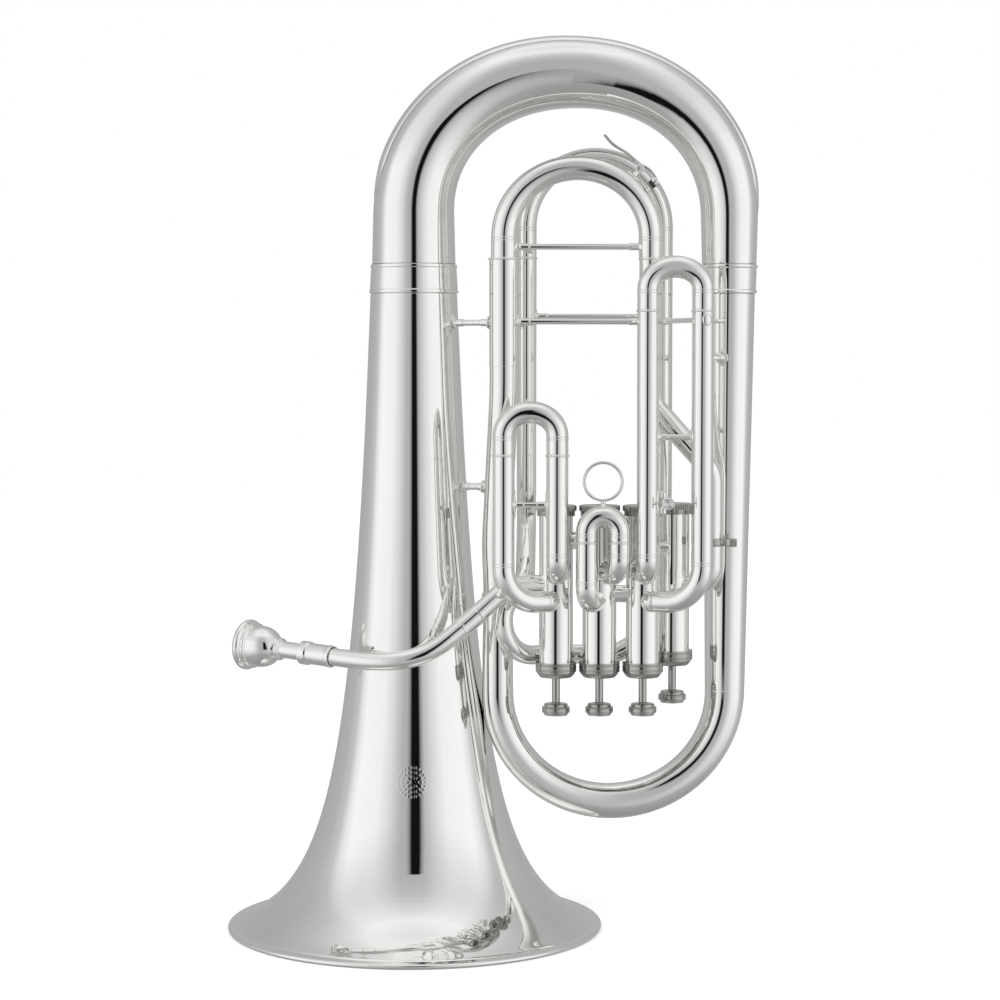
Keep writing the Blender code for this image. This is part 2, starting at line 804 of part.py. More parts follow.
def make_leadpipe():
    points = [
        Vector((91.8, -45.0, 261.0)),
        Vector((67.5, -50.0, 256.5)),
        Vector((42.2, -57.0, 235.5)),
        Vector((12.0, -63.5, 213.5)),
        Vector((-20.0, -61.5, 206.5)),
        RECEIVER_START + RECEIVER_AXIS * 4,
    ]
    path = flowing_path(points, Vector((-24, -5, 0)), RECEIVER_AXIS * 38, 2)
    plain_tube("leadpipe", path, (7.1, 6.6), 0.7)
    foot = Vector((20.5, -59.5, 219.0))
    inward = Vector((-0.33, 0.944, 0))
    start = towards(foot, foot + inward, 8.6)
    make_brace("leadpipe_brace", start, start + inward * 4.6, 2.0, 4.0, 1.0)


def make_receiver():
    outline = [
        (7.1, 0.0),
        (8.3, 0.0),
        (8.3, 3.0),
        (7.9, 3.6),
        (7.9, 20.0),
        (8.8, 21.0),
        (8.8, RECEIVER_LENGTH),
        (6.5, RECEIVER_LENGTH),
        (6.1, 8.0),
        (7.1, 7.4),
    ]
    turned("mouthpiece_receiver", RECEIVER_START, RECEIVER_AXIS, outline, 12)


def make_mouthpiece():
    """Profile heights run from the rim back into the receiver."""
    rim = RECEIVER_START + RECEIVER_AXIS * MOUTHPIECE_REACH
    outline = [
        (16.0, 0.0),
        (18.6, 1.6),
        (18.9, 4.0),
        (16.2, 8.0),
        (15.6, 17.0),
        (10.5, 27.0),
        (6.6, 33.0),
        (6.3, 46.0),
        (5.7, 70.0),
        (4.6, 70.0),
        (3.4, 30.0),
        (6.0, 23.0),
        (12.4, 9.0),
        (13.2, 2.0),
    ]
    turned("mouthpiece", rim, -RECEIVER_AXIS, outline, 12, origin=rim)


# Small fittings


def make_brace(name, start, end, rod_radius, flange_radius, flange=1.2):
    """A rod with a round foot at each end."""
    length = (end - start).length
    outline = [
        (flange_radius, 0.0),
        (flange_radius, flange),
        (rod_radius, flange + 0.8),
        (rod_radius, length - flange - 0.8),
        (flange_radius, length - flange),
        (flange_radius, length),
    ]
    return turned(name, start, end - start, outline, 10, hollow=False)


def make_braces():
    axis = Vector((0, 0, 0))
    sleeve = Vector((TUNING_X[0], TUNING_Y, 0))
    upper = 451.6
    make_brace(
        "bell_upper_brace",
        towards(at(axis, upper), at(sleeve, upper), bell_radius(upper) + 0.6),
        towards(at(sleeve, upper), at(axis, upper), TUNING_SLEEVE_RADII[0] + 0.6),
        2.2,
        4.6,
    )
    middle = 331.0
    branch = Vector((62.8, -23.0, middle))
    make_brace(
        "bell_middle_brace",
        towards(at(axis, middle), branch, bell_radius(middle) + 0.7),
        towards(branch, at(axis, middle), 11.6),
        2.4,
        4.6,
    )
    height = 426.0
    slide = Vector((209.0, SLIDE_Y, height))
    outer = Vector((233.4, 0, height))
    make_brace(
        "outer_branch_brace",
        towards(slide, outer, SLIDE_RADIUS + 0.6),
        towards(outer, slide, 19.1),
        2.2,
        4.8,
    )


def make_lyre_holder():
    """A block on the third slide's sleeve that grips a music lyre, with its clamp screw."""
    bm = bmesh.new()
    bmesh.ops.create_cube(bm, size=1.0)
    bmesh.ops.scale(bm, vec=(9.0, 8.0, 18.0), verts=bm.verts)
    bmesh.ops.translate(bm, vec=(182.9, -71.0, 321.9), verts=bm.verts)
    holder = make_object("lyre_holder", bm, "silver")
    axis = Vector((183.9, 0, 321.9))
    front = axis + Y_AXIS * -80.0
    back = axis + Y_AXIS * -62.0
    combine(holder, rod("lyre_screw_hole", front, back, 2.0), "DIFFERENCE")
    head = [(4.5, 0.0), (4.5, 3.0), (2.4, 3.4), (2.4, 7.0), (1.5, 7.0), (1.5, 20.0)]
    base = axis + Y_AXIS * -86.0
    turned("lyre_screw", base, Y_AXIS, head, 10, "nickel", False, base)


def make_water_key():
    """A spring lever on the tuning slide's bow whose cork closes the drain."""
    centre = Vector(((TUNING_X[0] + TUNING_X[1]) / 2, TUNING_Y, TUNING_BOW_Z))
    pivot = Vector((166.0, TUNING_Y, 563.6))
    cup = Vector((174.8, TUNING_Y, 552.2))
    outward = (pivot - centre).normalized()
    drain_axis = (cup - centre).normalized()
    tip = Vector((139.5, TUNING_Y, 588.0))
    knee = Vector((158.0, TUNING_Y, 573.0))
    over_cup = cup + drain_axis * 3.0
    path = bent_path([tip, knee, pivot + outward * 3.5, over_cup], [20, 8], 15)
    rings = []
    for point, tangent in path:
        normal = Y_AXIS.cross(tangent)
        corners = ((-3.4, -0.7), (3.4, -0.7), (3.4, 0.7), (-3.4, 0.7))
        rings.append([point + Y_AXIS * across + normal * depth for across, depth in corners])
    lever = make_object("water_key", skin(rings, False), "silver", pivot)
    barrel = rod("water_key_barrel", pivot - Y_AXIS * 3.2, pivot + Y_AXIS * 3.2, 2.0)
    web = rod("water_key_web", pivot, pivot + outward * 3.5, 1.6, 6)
    for helper in (barrel, web):
        combine(lever, helper, "UNION")
        attach(helper, lever)
    seat = [(3.0, 0.0), (3.0, 3.4)]
    foot = over_cup - drain_axis * 4.6
    cork = turned("water_key_cork", foot, drain_axis, seat, 10, "cork", False, foot)
    attach(cork, lever)


def main():
    clear_scene()
    make_bell()
    bell_end = bell_radius(FERRULE_Z[0])
    axis = Vector((0, 0, 0))
    make_ferrule("bell_ferrule", axis, bell_end, BOW_RADII[0], FERRULE_Z, 20, 0.9)
    make_top_bow()
    make_bow_guard()
    right = Vector((BOW_X, 0, 0))
    make_ferrule("bow_ferrule", right, BRANCH_RADII[0], BOW_RADII[1], FERRULE_Z, 16)
    make_outer_branch()
    make_lower_bow()
    make_third_branch()
    make_tuning_slide()
    make_fourth_loop()
    make_tail_tube()
    make_first_slide()
    make_second_slide()
    make_third_slide()
    ports = port_list()
    for name in VALVES:
        make_casing(name, ports[name])
        make_caps(name)
        make_piston(name)
    make_leadpipe()
    make_receiver()
    make_mouthpiece()
    make_braces()
    make_lyre_holder()
    make_water_key()


main()
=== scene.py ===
"""Looks of the four-valve euphonium: smooth silver tubing, turned parts, fittings and a bright studio.

Each CAD tube is read back as the rings of corners that it was built from.  The rings give the
tube's centre line and radii, and a fine surface is swept along them in place of the CAD facets.
Lengths in this script are millimetres until finish_mesh() turns them into metres.
"""

import json
import math

import bmesh
import bpy
import numpy as np
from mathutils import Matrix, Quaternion, Vector, kdtree

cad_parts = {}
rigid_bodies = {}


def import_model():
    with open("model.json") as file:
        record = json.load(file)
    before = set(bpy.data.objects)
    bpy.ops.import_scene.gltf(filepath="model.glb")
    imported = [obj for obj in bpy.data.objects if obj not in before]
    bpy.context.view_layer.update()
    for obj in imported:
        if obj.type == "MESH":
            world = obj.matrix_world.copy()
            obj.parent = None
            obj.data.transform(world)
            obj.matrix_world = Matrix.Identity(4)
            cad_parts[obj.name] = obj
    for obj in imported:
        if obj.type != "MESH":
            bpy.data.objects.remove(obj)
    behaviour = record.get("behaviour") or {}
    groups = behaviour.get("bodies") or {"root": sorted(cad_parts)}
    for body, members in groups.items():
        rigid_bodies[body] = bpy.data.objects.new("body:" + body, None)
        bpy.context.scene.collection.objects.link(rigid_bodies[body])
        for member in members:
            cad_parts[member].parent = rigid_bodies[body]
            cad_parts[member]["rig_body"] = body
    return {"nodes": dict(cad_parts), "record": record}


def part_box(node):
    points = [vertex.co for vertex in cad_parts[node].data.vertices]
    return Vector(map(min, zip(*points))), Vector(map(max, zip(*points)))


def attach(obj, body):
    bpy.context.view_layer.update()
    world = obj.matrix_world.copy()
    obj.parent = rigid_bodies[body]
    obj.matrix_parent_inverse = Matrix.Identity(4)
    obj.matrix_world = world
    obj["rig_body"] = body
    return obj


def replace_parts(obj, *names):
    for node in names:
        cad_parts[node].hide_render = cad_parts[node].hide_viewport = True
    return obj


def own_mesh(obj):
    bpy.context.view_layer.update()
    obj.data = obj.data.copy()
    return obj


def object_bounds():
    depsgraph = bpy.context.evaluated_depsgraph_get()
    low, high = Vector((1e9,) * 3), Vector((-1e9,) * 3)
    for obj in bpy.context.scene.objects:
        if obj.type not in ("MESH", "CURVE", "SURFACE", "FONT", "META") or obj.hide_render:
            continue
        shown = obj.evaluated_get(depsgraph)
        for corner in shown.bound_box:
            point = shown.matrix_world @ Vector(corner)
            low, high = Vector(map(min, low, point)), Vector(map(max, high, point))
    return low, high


for item in list(bpy.data.objects):
    bpy.data.objects.remove(item)
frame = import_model()
cad_low, cad_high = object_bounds()

MM = 0.001
X_AXIS = Vector((1, 0, 0))
Y_AXIS = Vector((0, 1, 0))
Z_AXIS = Vector((0, 0, 1))
VALVES = ("first", "second", "third", "fourth")
AROUND = 56  # facets round a tube
BEND_STEP = 3.0  # degrees of bend between two rings of a tube
EDGE = 0.3  # rounding of a turned corner
CORNER = 25.0  # degrees from which a corner counts as one

# Facets round each CAD node's rings, where they aren't ten
CAD_SIDES = {
    "bell": 20,
    "bell_ferrule": 20,
    "bow_ferrule": 16,
    "top_bow": 14,
    "outer_branch": 14,
    "lower_bow": 12,
    "third_branch": 12,
    "branch_ferrule": 12,
    "mouthpiece_receiver": 12,
    "mouthpiece": 12,
}
VALVE_PART_SIDES = 12


# Materials


def new_material(name):
    made = bpy.data.materials.new(name)
    made.use_nodes = True
    return made, made.node_tree, made.node_tree.nodes["Principled BSDF"]


def add_node(tree, kind, **values):
    """A new node with its settings; a value that is another node's output is linked."""
    node = tree.nodes.new(kind)
    for key, value in values.items():
        if isinstance(value, bpy.types.NodeSocket):
            tree.links.new(value, node.inputs[key])
        elif key in node.inputs:
            node.inputs[key].default_value = value
        else:
            setattr(node, key, value)
    return node


def noise(tree, where, scale, detail=4.0):
    return add_node(tree, "ShaderNodeTexNoise", Vector=where, Scale=scale, Detail=detail).outputs["Fac"]


def spread(tree, value, low, high):
    """Maps a 0 to 1 value onto low to high."""
    limits = {"To Min": low, "To Max": high}
    return add_node(tree, "ShaderNodeMapRange", Value=value, **limits).outputs["Result"]


def blend(tree, share, first, second):
    """A colour between two colours, or between two nodes' outputs."""
    node = add_node(tree, "ShaderNodeMix", data_type="RGBA", Factor=share, A=first, B=second)
    return node.outputs["Result"]


def grainy(tree, shader, height, strength):
    """Raises the surface's grain by a height."""
    relief = add_node(tree, "ShaderNodeBump", Height=height, Strength=strength, Distance=GRAIN_DEPTH)
    tree.links.new(relief.outputs["Normal"], shader.inputs["Normal"])


def metal(name, bright, dull, smooth, rough, bump=0.0):
    """Polished metal: cloudy tone, uneven polish and a fine grain in object space."""
    made, tree, shader = new_material(name)
    shader.inputs["Metallic"].default_value = 1.0
    where = tree.nodes.new("ShaderNodeTexCoord").outputs["Object"]
    tone = blend(tree, noise(tree, where, 14.0), (*bright, 1), (*dull, 1))
    tree.links.new(tone, shader.inputs["Base Color"])
    polish = spread(tree, noise(tree, where, 60.0), smooth, rough)
    tree.links.new(polish, shader.inputs["Roughness"])
    if bump:
        grainy(tree, shader, noise(tree, where, 900.0, 2.0), bump)
    return made


def cork_material():
    made, tree, shader = new_material("black_cork")
    where = tree.nodes.new("ShaderNodeTexCoord").outputs["Object"]
    grain = noise(tree, where, 2500.0)
    tone = blend(tree, grain, (0.012, 0.012, 0.012, 1), (0.035, 0.033, 0.03, 1))
    tree.links.new(tone, shader.inputs["Base Color"])
    shader.inputs["Roughness"].default_value = 0.7
    grainy(tree, shader, grain, 0.4)
    return made


GRAIN_DEPTH = 0.0002
SILVER = metal("silver_plate", (0.97, 0.965, 0.95), (0.92, 0.915, 0.90), 0.012, 0.035)
NICKEL = metal("nickel_plate", (0.54, 0.53, 0.51), (0.42, 0.41, 0.395), 0.06, 0.13, 0.1)
STEEL = metal("spring_steel", (0.58, 0.59, 0.61), (0.48, 0.49, 0.5), 0.2, 0.3, 0.2)
CORK = cork_material()
MATERIALS = {"silver_plate": SILVER, "nickel": NICKEL, "spring_steel": STEEL, "cork": CORK}
SLOT_OF = {part["node"]: part["material_slot"] for part in frame["record"]["subparts"]}


# Reading the CAD nodes back as rings


class Ring:
    def __init__(self, centre, normal, radius, members):
        self.centre = centre
        self.normal = normal
        self.radius = radius
        self.members = members
        self.outer = True


def sides_of(node):
    if node.startswith(VALVES) and node.endswith(("casing", "cap", "piston", "button")):
        return VALVE_PART_SIDES
    return CAD_SIDES.get(node, 10)


def welded(node):
    """The node's distinct corners in millimetres, and its triangles as corner numbers."""
    mesh = frame["nodes"][node].data
    corners = np.empty(len(mesh.vertices) * 3, np.float32)
    mesh.vertices.foreach_get("co", corners)
    corners = corners.reshape(-1, 3) / MM
    places = np.round(corners, 2)
    _, first, number = np.unique(places, axis=0, return_index=True, return_inverse=True)
    number = number.reshape(-1)
    points = [Vector([float(value) for value in corners[index]]) for index in first]
    return points, [[int(number[corner]) for corner in face.vertices] for face in mesh.polygons]


def neighbours_of(points, triangles):
    near = [set() for _ in points]
    for triangle in triangles:
        for corner in triangle:
            near[corner].update(triangle)
    return [sorted(found - {number}) for number, found in enumerate(near)]


def ring_through(before, middle, after, sides, tree):
    """The regular ring that turns through three corners, if its other corners exist too."""
    turn = 2 * math.pi / sides
    entering = middle - before
    leaving = after - middle
    if abs(entering.length - leaving.length) > 0.02 or abs(entering.angle(leaving, 9) - turn) > 0.01:
        return None
    radius = entering.length / (2 * math.sin(turn / 2))
    centre = middle + (leaving - entering).normalized() * radius
    normal = entering.cross(leaving).normalized()
    members = []
    for step in range(sides):
        spot = centre + Quaternion(normal, step * turn) @ (middle - centre)
        _, found, gap = tree.find(spot)
        if gap < 0.03:
            members.append(found)
    return Ring(centre, normal, radius, members) if len(members) >= 0.6 * sides else None


def find_rings(points, near, sides):
    tree = kdtree.KDTree(len(points))
    for number, point in enumerate(points):
        tree.insert(point, number)
    tree.balance()
    rings = []
    owner = {}
    for number, point in enumerate(points):
        pairs = [(a, b) for a in near[number] for b in near[number] if a < b]
        for a, b in pairs if number not in owner else ():
            ring = ring_through(points[a], point, points[b], sides, tree)
            if ring:
                owner.update({member: len(rings) for member in ring.members if member not in owner})
                rings.append(ring)
                break
    return rings, owner


def mark_bores(rings, owner, points, triangles):
    """A ring is a bore when the faces beside it look towards its centre."""
    facing = [0.0] * len(rings)
    for a, b, c in triangles:
        normal = (points[b] - points[a]).cross(points[c] - points[a])
        for corner in (a, b, c):
            if corner in owner:
                facing[owner[corner]] += normal.dot(points[corner] - rings[owner[corner]].centre)
    for ring, sign in zip(rings, facing):
        ring.outer = sign > 0


def in_order(rings, owner, near):
    """The rings in the order in which the node's surface joins them."""
    links = [{} for _ in rings]
    for corner, number in owner.items():
        for other in near[corner]:
            beyond = owner.get(other, number)
            if beyond != number:
                links[number][beyond] = links[number].get(beyond, 0) + 1
    ends = [number for number, found in enumerate(links) if len(found) == 1]
    beside_bore = [any(not rings[k].outer for k in found) for found in links]
    starts = [n for n, ring in enumerate(rings) if ring.outer and beside_bore[n]]
    order = [(ends or starts or [0])[0]]
    while True:
        ahead = {n: count for n, count in links[order[-1]].items() if n not in order}
        if not ahead:
            return [rings[number] for number in order]
        same = [n for n in ahead if rings[n].outer == rings[order[-1]].outer]
        order.append(max(same or ahead, key=lambda n: ahead[n]))


def rings_of(node):
    points, triangles = welded(node)
    near = neighbours_of(points, triangles)
    rings, owner = find_rings(points, near, sides_of(node))
    mark_bores(rings, owner, points, triangles)
    return in_order(rings, owner, near)


def rod_rings(node, sides=8):
    """The rings of the rods or links that are fused to a node."""
    points, triangles = welded(node)
    near = neighbours_of(points, triangles)
    _, owned = find_rings(points, near, sides_of(node))
    rings, _ = find_rings(points, near, sides)
    return [ring for ring in rings if any(member not in owned for member in ring.members)]


# Centre lines


def clamped_spline(points, first_tangent, last_tangent, counts):
    """Points and tangents along the smooth curve through the points."""
    spot = np.array([point[:] for point in points])
    span = np.linalg.norm(np.diff(spot, axis=0), axis=1)
    size = len(points)
    matrix = np.zeros((size, size))
    right = np.zeros((size, 3))
    matrix[0, 0] = matrix[-1, -1] = 1.0
    right[0] = first_tangent[:]
    right[-1] = last_tangent[:]
    for k in range(1, size - 1):
        matrix[k, k - 1] = span[k]
        matrix[k, k] = 2 * (span[k - 1] + span[k])
        matrix[k, k + 1] = span[k - 1]
        before = (spot[k] - spot[k - 1]) / span[k - 1] * span[k]
        after = (spot[k + 1] - spot[k]) / span[k] * span[k - 1]
        right[k] = 3 * (before + after)
    slope = np.linalg.solve(matrix, right)
    samples = []
    for k, count in enumerate(counts):
        for step in range(1, count + 1):
            t = step / count
            h = span[k]
            point = (
                spot[k] * (2 * t**3 - 3 * t**2 + 1)
                + slope[k] * h * (t**3 - 2 * t**2 + t)
                + spot[k + 1] * (3 * t**2 - 2 * t**3)
                + slope[k + 1] * h * (t**3 - t**2)
            )
            tangent = (
                spot[k] * (6 * t**2 - 6 * t) / h
                + slope[k] * (3 * t**2 - 4 * t + 1)
                + spot[k + 1] * (6 * t - 6 * t**2) / h
                + slope[k + 1] * (3 * t**2 - 2 * t)
            )
            samples.append((Vector(point), Vector(tangent).normalized()))
    return samples


def clamped_path(points):
    """(point, tangent) pairs on a smooth curve through points, eight to each step."""
    first = (points[1] - points[0]).normalized()
    last = (points[-1] - points[-2]).normalized()
    return [(points[0], first)] + clamped_spline(points, first, last, [8] * (len(points) - 1))


class Spine:
    """A centre line with its length along it; past its ends it runs on straight."""

    def __init__(self, stations):
        stations = self.directed(stations)
        samples = [stations[0]]
        run = [stations[0]]
        for before, after in zip(stations, stations[1:]):
            if self.is_straight(before, after):
                self.close_run(run, samples)
                samples.append(after)
                run = [after]
            else:
                run.append(after)
        self.close_run(run, samples)
        self.points = [point for point, _ in samples]
        self.tangents = [tangent for _, tangent in samples]
        self.lengths = [0.0]
        for before, after in zip(self.points, self.points[1:]):
            self.lengths.append(self.lengths[-1] + (after - before).length)
        self.sides = self.carried_sides()

    @staticmethod
    def directed(stations):
        """Drops repeated centres and turns every tangent the way the line runs."""
        kept = []
        for point, tangent in stations:
            if not kept or (point - kept[-1][0]).length > 0.05:
                kept.append((point, tangent.normalized()))
        turned = []
        for number, (point, tangent) in enumerate(kept):
            ahead = kept[min(number + 1, len(kept) - 1)][0] - kept[max(number - 1, 0)][0]
            turned.append((point, tangent if tangent.dot(ahead) > 0 else -tangent))
        return turned

    @staticmethod
    def is_straight(before, after):
        chord = after[0] - before[0]
        return chord.angle(before[1]) < 0.005 and chord.angle(after[1]) < 0.005

    @staticmethod
    def close_run(run, samples):
        if len(run) < 2:
            return
        pairs = zip(run, run[1:])
        counts = [max(1, round(math.degrees(a[1].angle(b[1])) / BEND_STEP)) for a, b in pairs]
        samples += clamped_spline([point for point, _ in run], run[0][1], run[-1][1], counts)

    def carried_sides(self):
        """A side direction at each sample, carried along without twisting."""
        first = self.tangents[0]
        side = Y_AXIS if abs(first.y) < 0.9 else X_AXIS
        sides = []
        for tangent in self.tangents:
            side = (side - tangent * side.dot(tangent)).normalized()
            sides.append(side)
        return sides

    @property
    def total(self):
        return self.lengths[-1]

    def frame_at(self, length):
        """Centre, tangent and side direction at a length along the line."""
        if length <= 0:
            return self.points[0] + self.tangents[0] * length, self.tangents[0], self.sides[0]
        if length >= self.total:
            over = length - self.total
            return self.points[-1] + self.tangents[-1] * over, self.tangents[-1], self.sides[-1]
        number = int(np.searchsorted(self.lengths, length)) - 1
        share = (length - self.lengths[number]) / (self.lengths[number + 1] - self.lengths[number])
        point = self.points[number].lerp(self.points[number + 1], share)
        tangent = self.tangents[number].lerp(self.tangents[number + 1], share).normalized()
        side = self.sides[number].lerp(self.sides[number + 1], share)
        return point, tangent, (side - tangent * side.dot(tangent)).normalized()

    def length_at(self, point):
        """How far along the line the nearest place to a point is."""
        gaps = [(spot - point).length_squared for spot in self.points]
        number = gaps.index(min(gaps))
        return self.lengths[number] + (point - self.points[number]).dot(self.tangents[number])


def straight_spine(start, end):
    along = end - start
    return Spine([(start, along), (end, along)])


# Surfaces


def rounded(profile, closed, size):
    """The profile with each corner that turns more than CORNER degrees rounded off."""
    out = []
    count = len(profile)
    for number, point in enumerate(profile):
        here = Vector(point)
        if not closed and number in (0, count - 1):
            out.append(here)
            continue
        before = Vector(profile[number - 1]) - here
        after = Vector(profile[(number + 1) % count]) - here
        if before.length < 1e-4 or after.length < 1e-4:
            continue
        if math.degrees(before.angle(-after)) < CORNER:
            out.append(here)
            continue
        near = min(size, 0.45 * before.length)
        far = min(size, 0.45 * after.length)
        start = here + before.normalized() * near
        end = here + after.normalized() * far
        for step in range(4):
            t = step / 3
            out.append(start * (1 - t) ** 2 + here * 2 * t * (1 - t) + end * t**2)
    return out


def supported(profile, closed):
    """Adds a point near each end of a long line, so that its shading stays flat between them."""
    followers = profile[1:] + profile[:1] if closed else profile[1:]
    shape = []
    for start, end in zip(profile, followers):
        shape.append(start)
        run = (end - start).length
        if run > 4.0:
            shape += [start.lerp(end, 0.9 / run), start.lerp(end, 1 - 0.9 / run)]
    return shape if closed else shape + [profile[-1]]


def along_bends(profile, closed, spine):
    """Adds the centre line's own samples to the profile's long steps."""
    out = []
    pairs = list(zip(profile, profile[1:] + profile[:1])) if closed else list(zip(profile, profile[1:]))
    for start, end in pairs:
        out.append(start)
        low, high = sorted((start.x, end.x))
        between = [length for length in spine.lengths if low + 0.3 < length < high - 0.3]
        if start.x > end.x:
            between.reverse()
        for length in between:
            out.append(start.lerp(end, (length - start.x) / (end.x - start.x)))
    if not closed:
        out.append(profile[-1])
    return out


def new_object(name, data):
    made = bpy.data.objects.new(name, data)
    bpy.context.scene.collection.objects.link(made)
    return made


def finish_mesh(name, bm, material, body, sharp=38.0):
    """Turns a bmesh in millimetres into a smooth-shaded piece that rides on a body."""
    bmesh.ops.recalc_face_normals(bm, faces=bm.faces)
    bmesh.ops.scale(bm, vec=(MM, MM, MM), verts=bm.verts)
    mesh = bpy.data.meshes.new(name)
    bm.to_mesh(mesh)
    bm.free()
    mesh.shade_smooth()
    mesh.set_sharp_from_angle(angle=math.radians(sharp))
    mesh.materials.append(material)
    made = new_object(name, mesh)
    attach(made, body)
    return made


def onto_casing(vertices, direction, axis, radius):
    """Slides an end's vertices along the tube until they lie on an upright casing."""
    flat = Vector((direction.x, direction.y))
    for vertex in vertices:
        away = Vector((vertex.co.x - axis.x, vertex.co.y - axis.y))
        a, b, c = flat.dot(flat), 2 * away.dot(flat), away.dot(away) - radius**2
        under = b * b - 4 * a * c
        if under > 0:
            vertex.co += direction * ((-b - math.sqrt(under)) / (2 * a))


def bridge(bm, loops, closed=False, capped=False):
    """Joins neighbouring loops of corners with faces; a loop may also be a single corner."""
    for loop, following in zip(loops, loops[1:] + (loops[:1] if closed else [])):
        around = max(len(loop), len(following))
        for step in range(around):
            ahead = (step + 1) % around
            corners = [loop[step % len(loop)], loop[ahead % len(loop)]]
            corners += [following[ahead % len(following)], following[step % len(following)]]
            distinct = list(dict.fromkeys(corners))
            if len(distinct) > 2:
                bm.faces.new(distinct)
    if capped:
        bm.faces.new(loops[0][::-1])
        bm.faces.new(loops[-1])


def circle(bm, centre, first, second, radius, sides):
    """Corners round a centre, in the plane of two directions."""
    turns = [2 * math.pi * side / sides for side in range(sides)]
    return [bm.verts.new(centre + (first * math.cos(t) + second * math.sin(t)) * radius) for t in turns]


def squared(value, power):
    """A sine or cosine reshaped so that an oval grows squarer, or slimmer, by a power."""
    return math.copysign(abs(value) ** power, value)


def swept_mesh(spine, profile, closed, around, relief, seats):
    """Sweeps a profile of (length along the spine, radius) round the spine.

    Each seat is (length at an end, direction out of that end, casing axis, casing radius).
    """
    bm = bmesh.new()
    loops = []
    for length, radius in profile:
        centre, tangent, side = spine.frame_at(length)
        other = tangent.cross(side)
        if radius < 1e-3:
            loops.append([bm.verts.new(centre)])
            continue
        loop = []
        for step in range(around):
            angle = 2 * math.pi * step / around
            reach = radius + (relief(length, radius, angle) if relief else 0.0)
            loop.append(bm.verts.new(centre + (side * math.cos(angle) + other * math.sin(angle)) * reach))
        loops.append(loop)
    for end, direction, axis, reach in seats:
        for (length, _), loop in zip(profile, loops):
            if abs(length - end) < 0.8:
                onto_casing(loop, direction, axis, reach)
    bridge(bm, loops, closed)
    return bm


def sweep(
    name, spine, profile, material, body, closed=True, around=AROUND, relief=None, edge=EDGE, seats=()
):
    """Sweeps a profile, its corners rounded, into a finished piece."""
    shape = supported(rounded(profile, closed, edge), closed)
    shape = along_bends(shape, closed, spine)
    return finish_mesh(name, swept_mesh(spine, shape, closed, around, relief, seats), material, body)


def turned(name, base, axis, outline, material, body, closed=False, around=64, relief=None, edge=EDGE):
    """Turns an outline of (height along the axis, radius)."""
    spine = straight_spine(base, base + axis.normalized() * 100.0)
    return sweep(name, spine, outline, material, body, closed, around, relief, edge)


def from_axis(outline):
    """Closes both ends of an outline down to the axis."""
    return [(outline[0][0], 0.0), *outline, (outline[-1][0], 0.0)]


def body_of(node):
    return frame["nodes"][node]["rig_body"]


def look_of(node):
    return MATERIALS[SLOT_OF[node]]


def box_mm(node):
    low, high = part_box(node)
    return low / MM, high / MM


def middle_of(node):
    low, high = box_mm(node)
    return (low + high) / 2


# Tubes


CONES = ["top_bow", "outer_branch", "lower_bow", "third_branch"]
TUNING_SLEEVES = ["large_tuning_sleeve", "small_tuning_sleeve"]
LOOPS = ("fourth_loop", "first_slide", "second_slide", "third_slide")
SLEEVES = [f"{loop}_{end}_tube" for loop in LOOPS for end in ("inlet", "outlet")]
SLIDES = ["main_tuning_slide"] + [valve + "_slide" for valve in VALVES]
TUBES = CONES + TUNING_SLEEVES + ["tail_tube"] + SLEEVES + ["leadpipe"] + SLIDES
FLUSH = CONES + ["tail_tube", "small_tuning_sleeve"]  # tubes that meet without a visible edge
JOINT = 0.35  # how far a soldered tube runs past its CAD end
CASING_SEAT = 0.25  # how far a tube's end sinks into a casing


def casing_of(valve):
    """The middle of the valve's cap, which is on the casing's axis, and the casing's radius."""
    radius = max(ring.radius for ring in rings_of(valve + "_valve_casing"))
    return middle_of(valve + "_valve_top_cap"), radius


CASINGS = [casing_of(valve) for valve in VALVES]


def seat_at(point, direction):
    """The casing that a tube's end runs into, if there is one."""
    for axis, radius in CASINGS:
        away = Vector((axis.x - point.x, axis.y - point.y, 0))
        if away.length < radius + 5 and away.dot(direction) > 0.7 * away.length:
            return axis, radius - CASING_SEAT
    return None


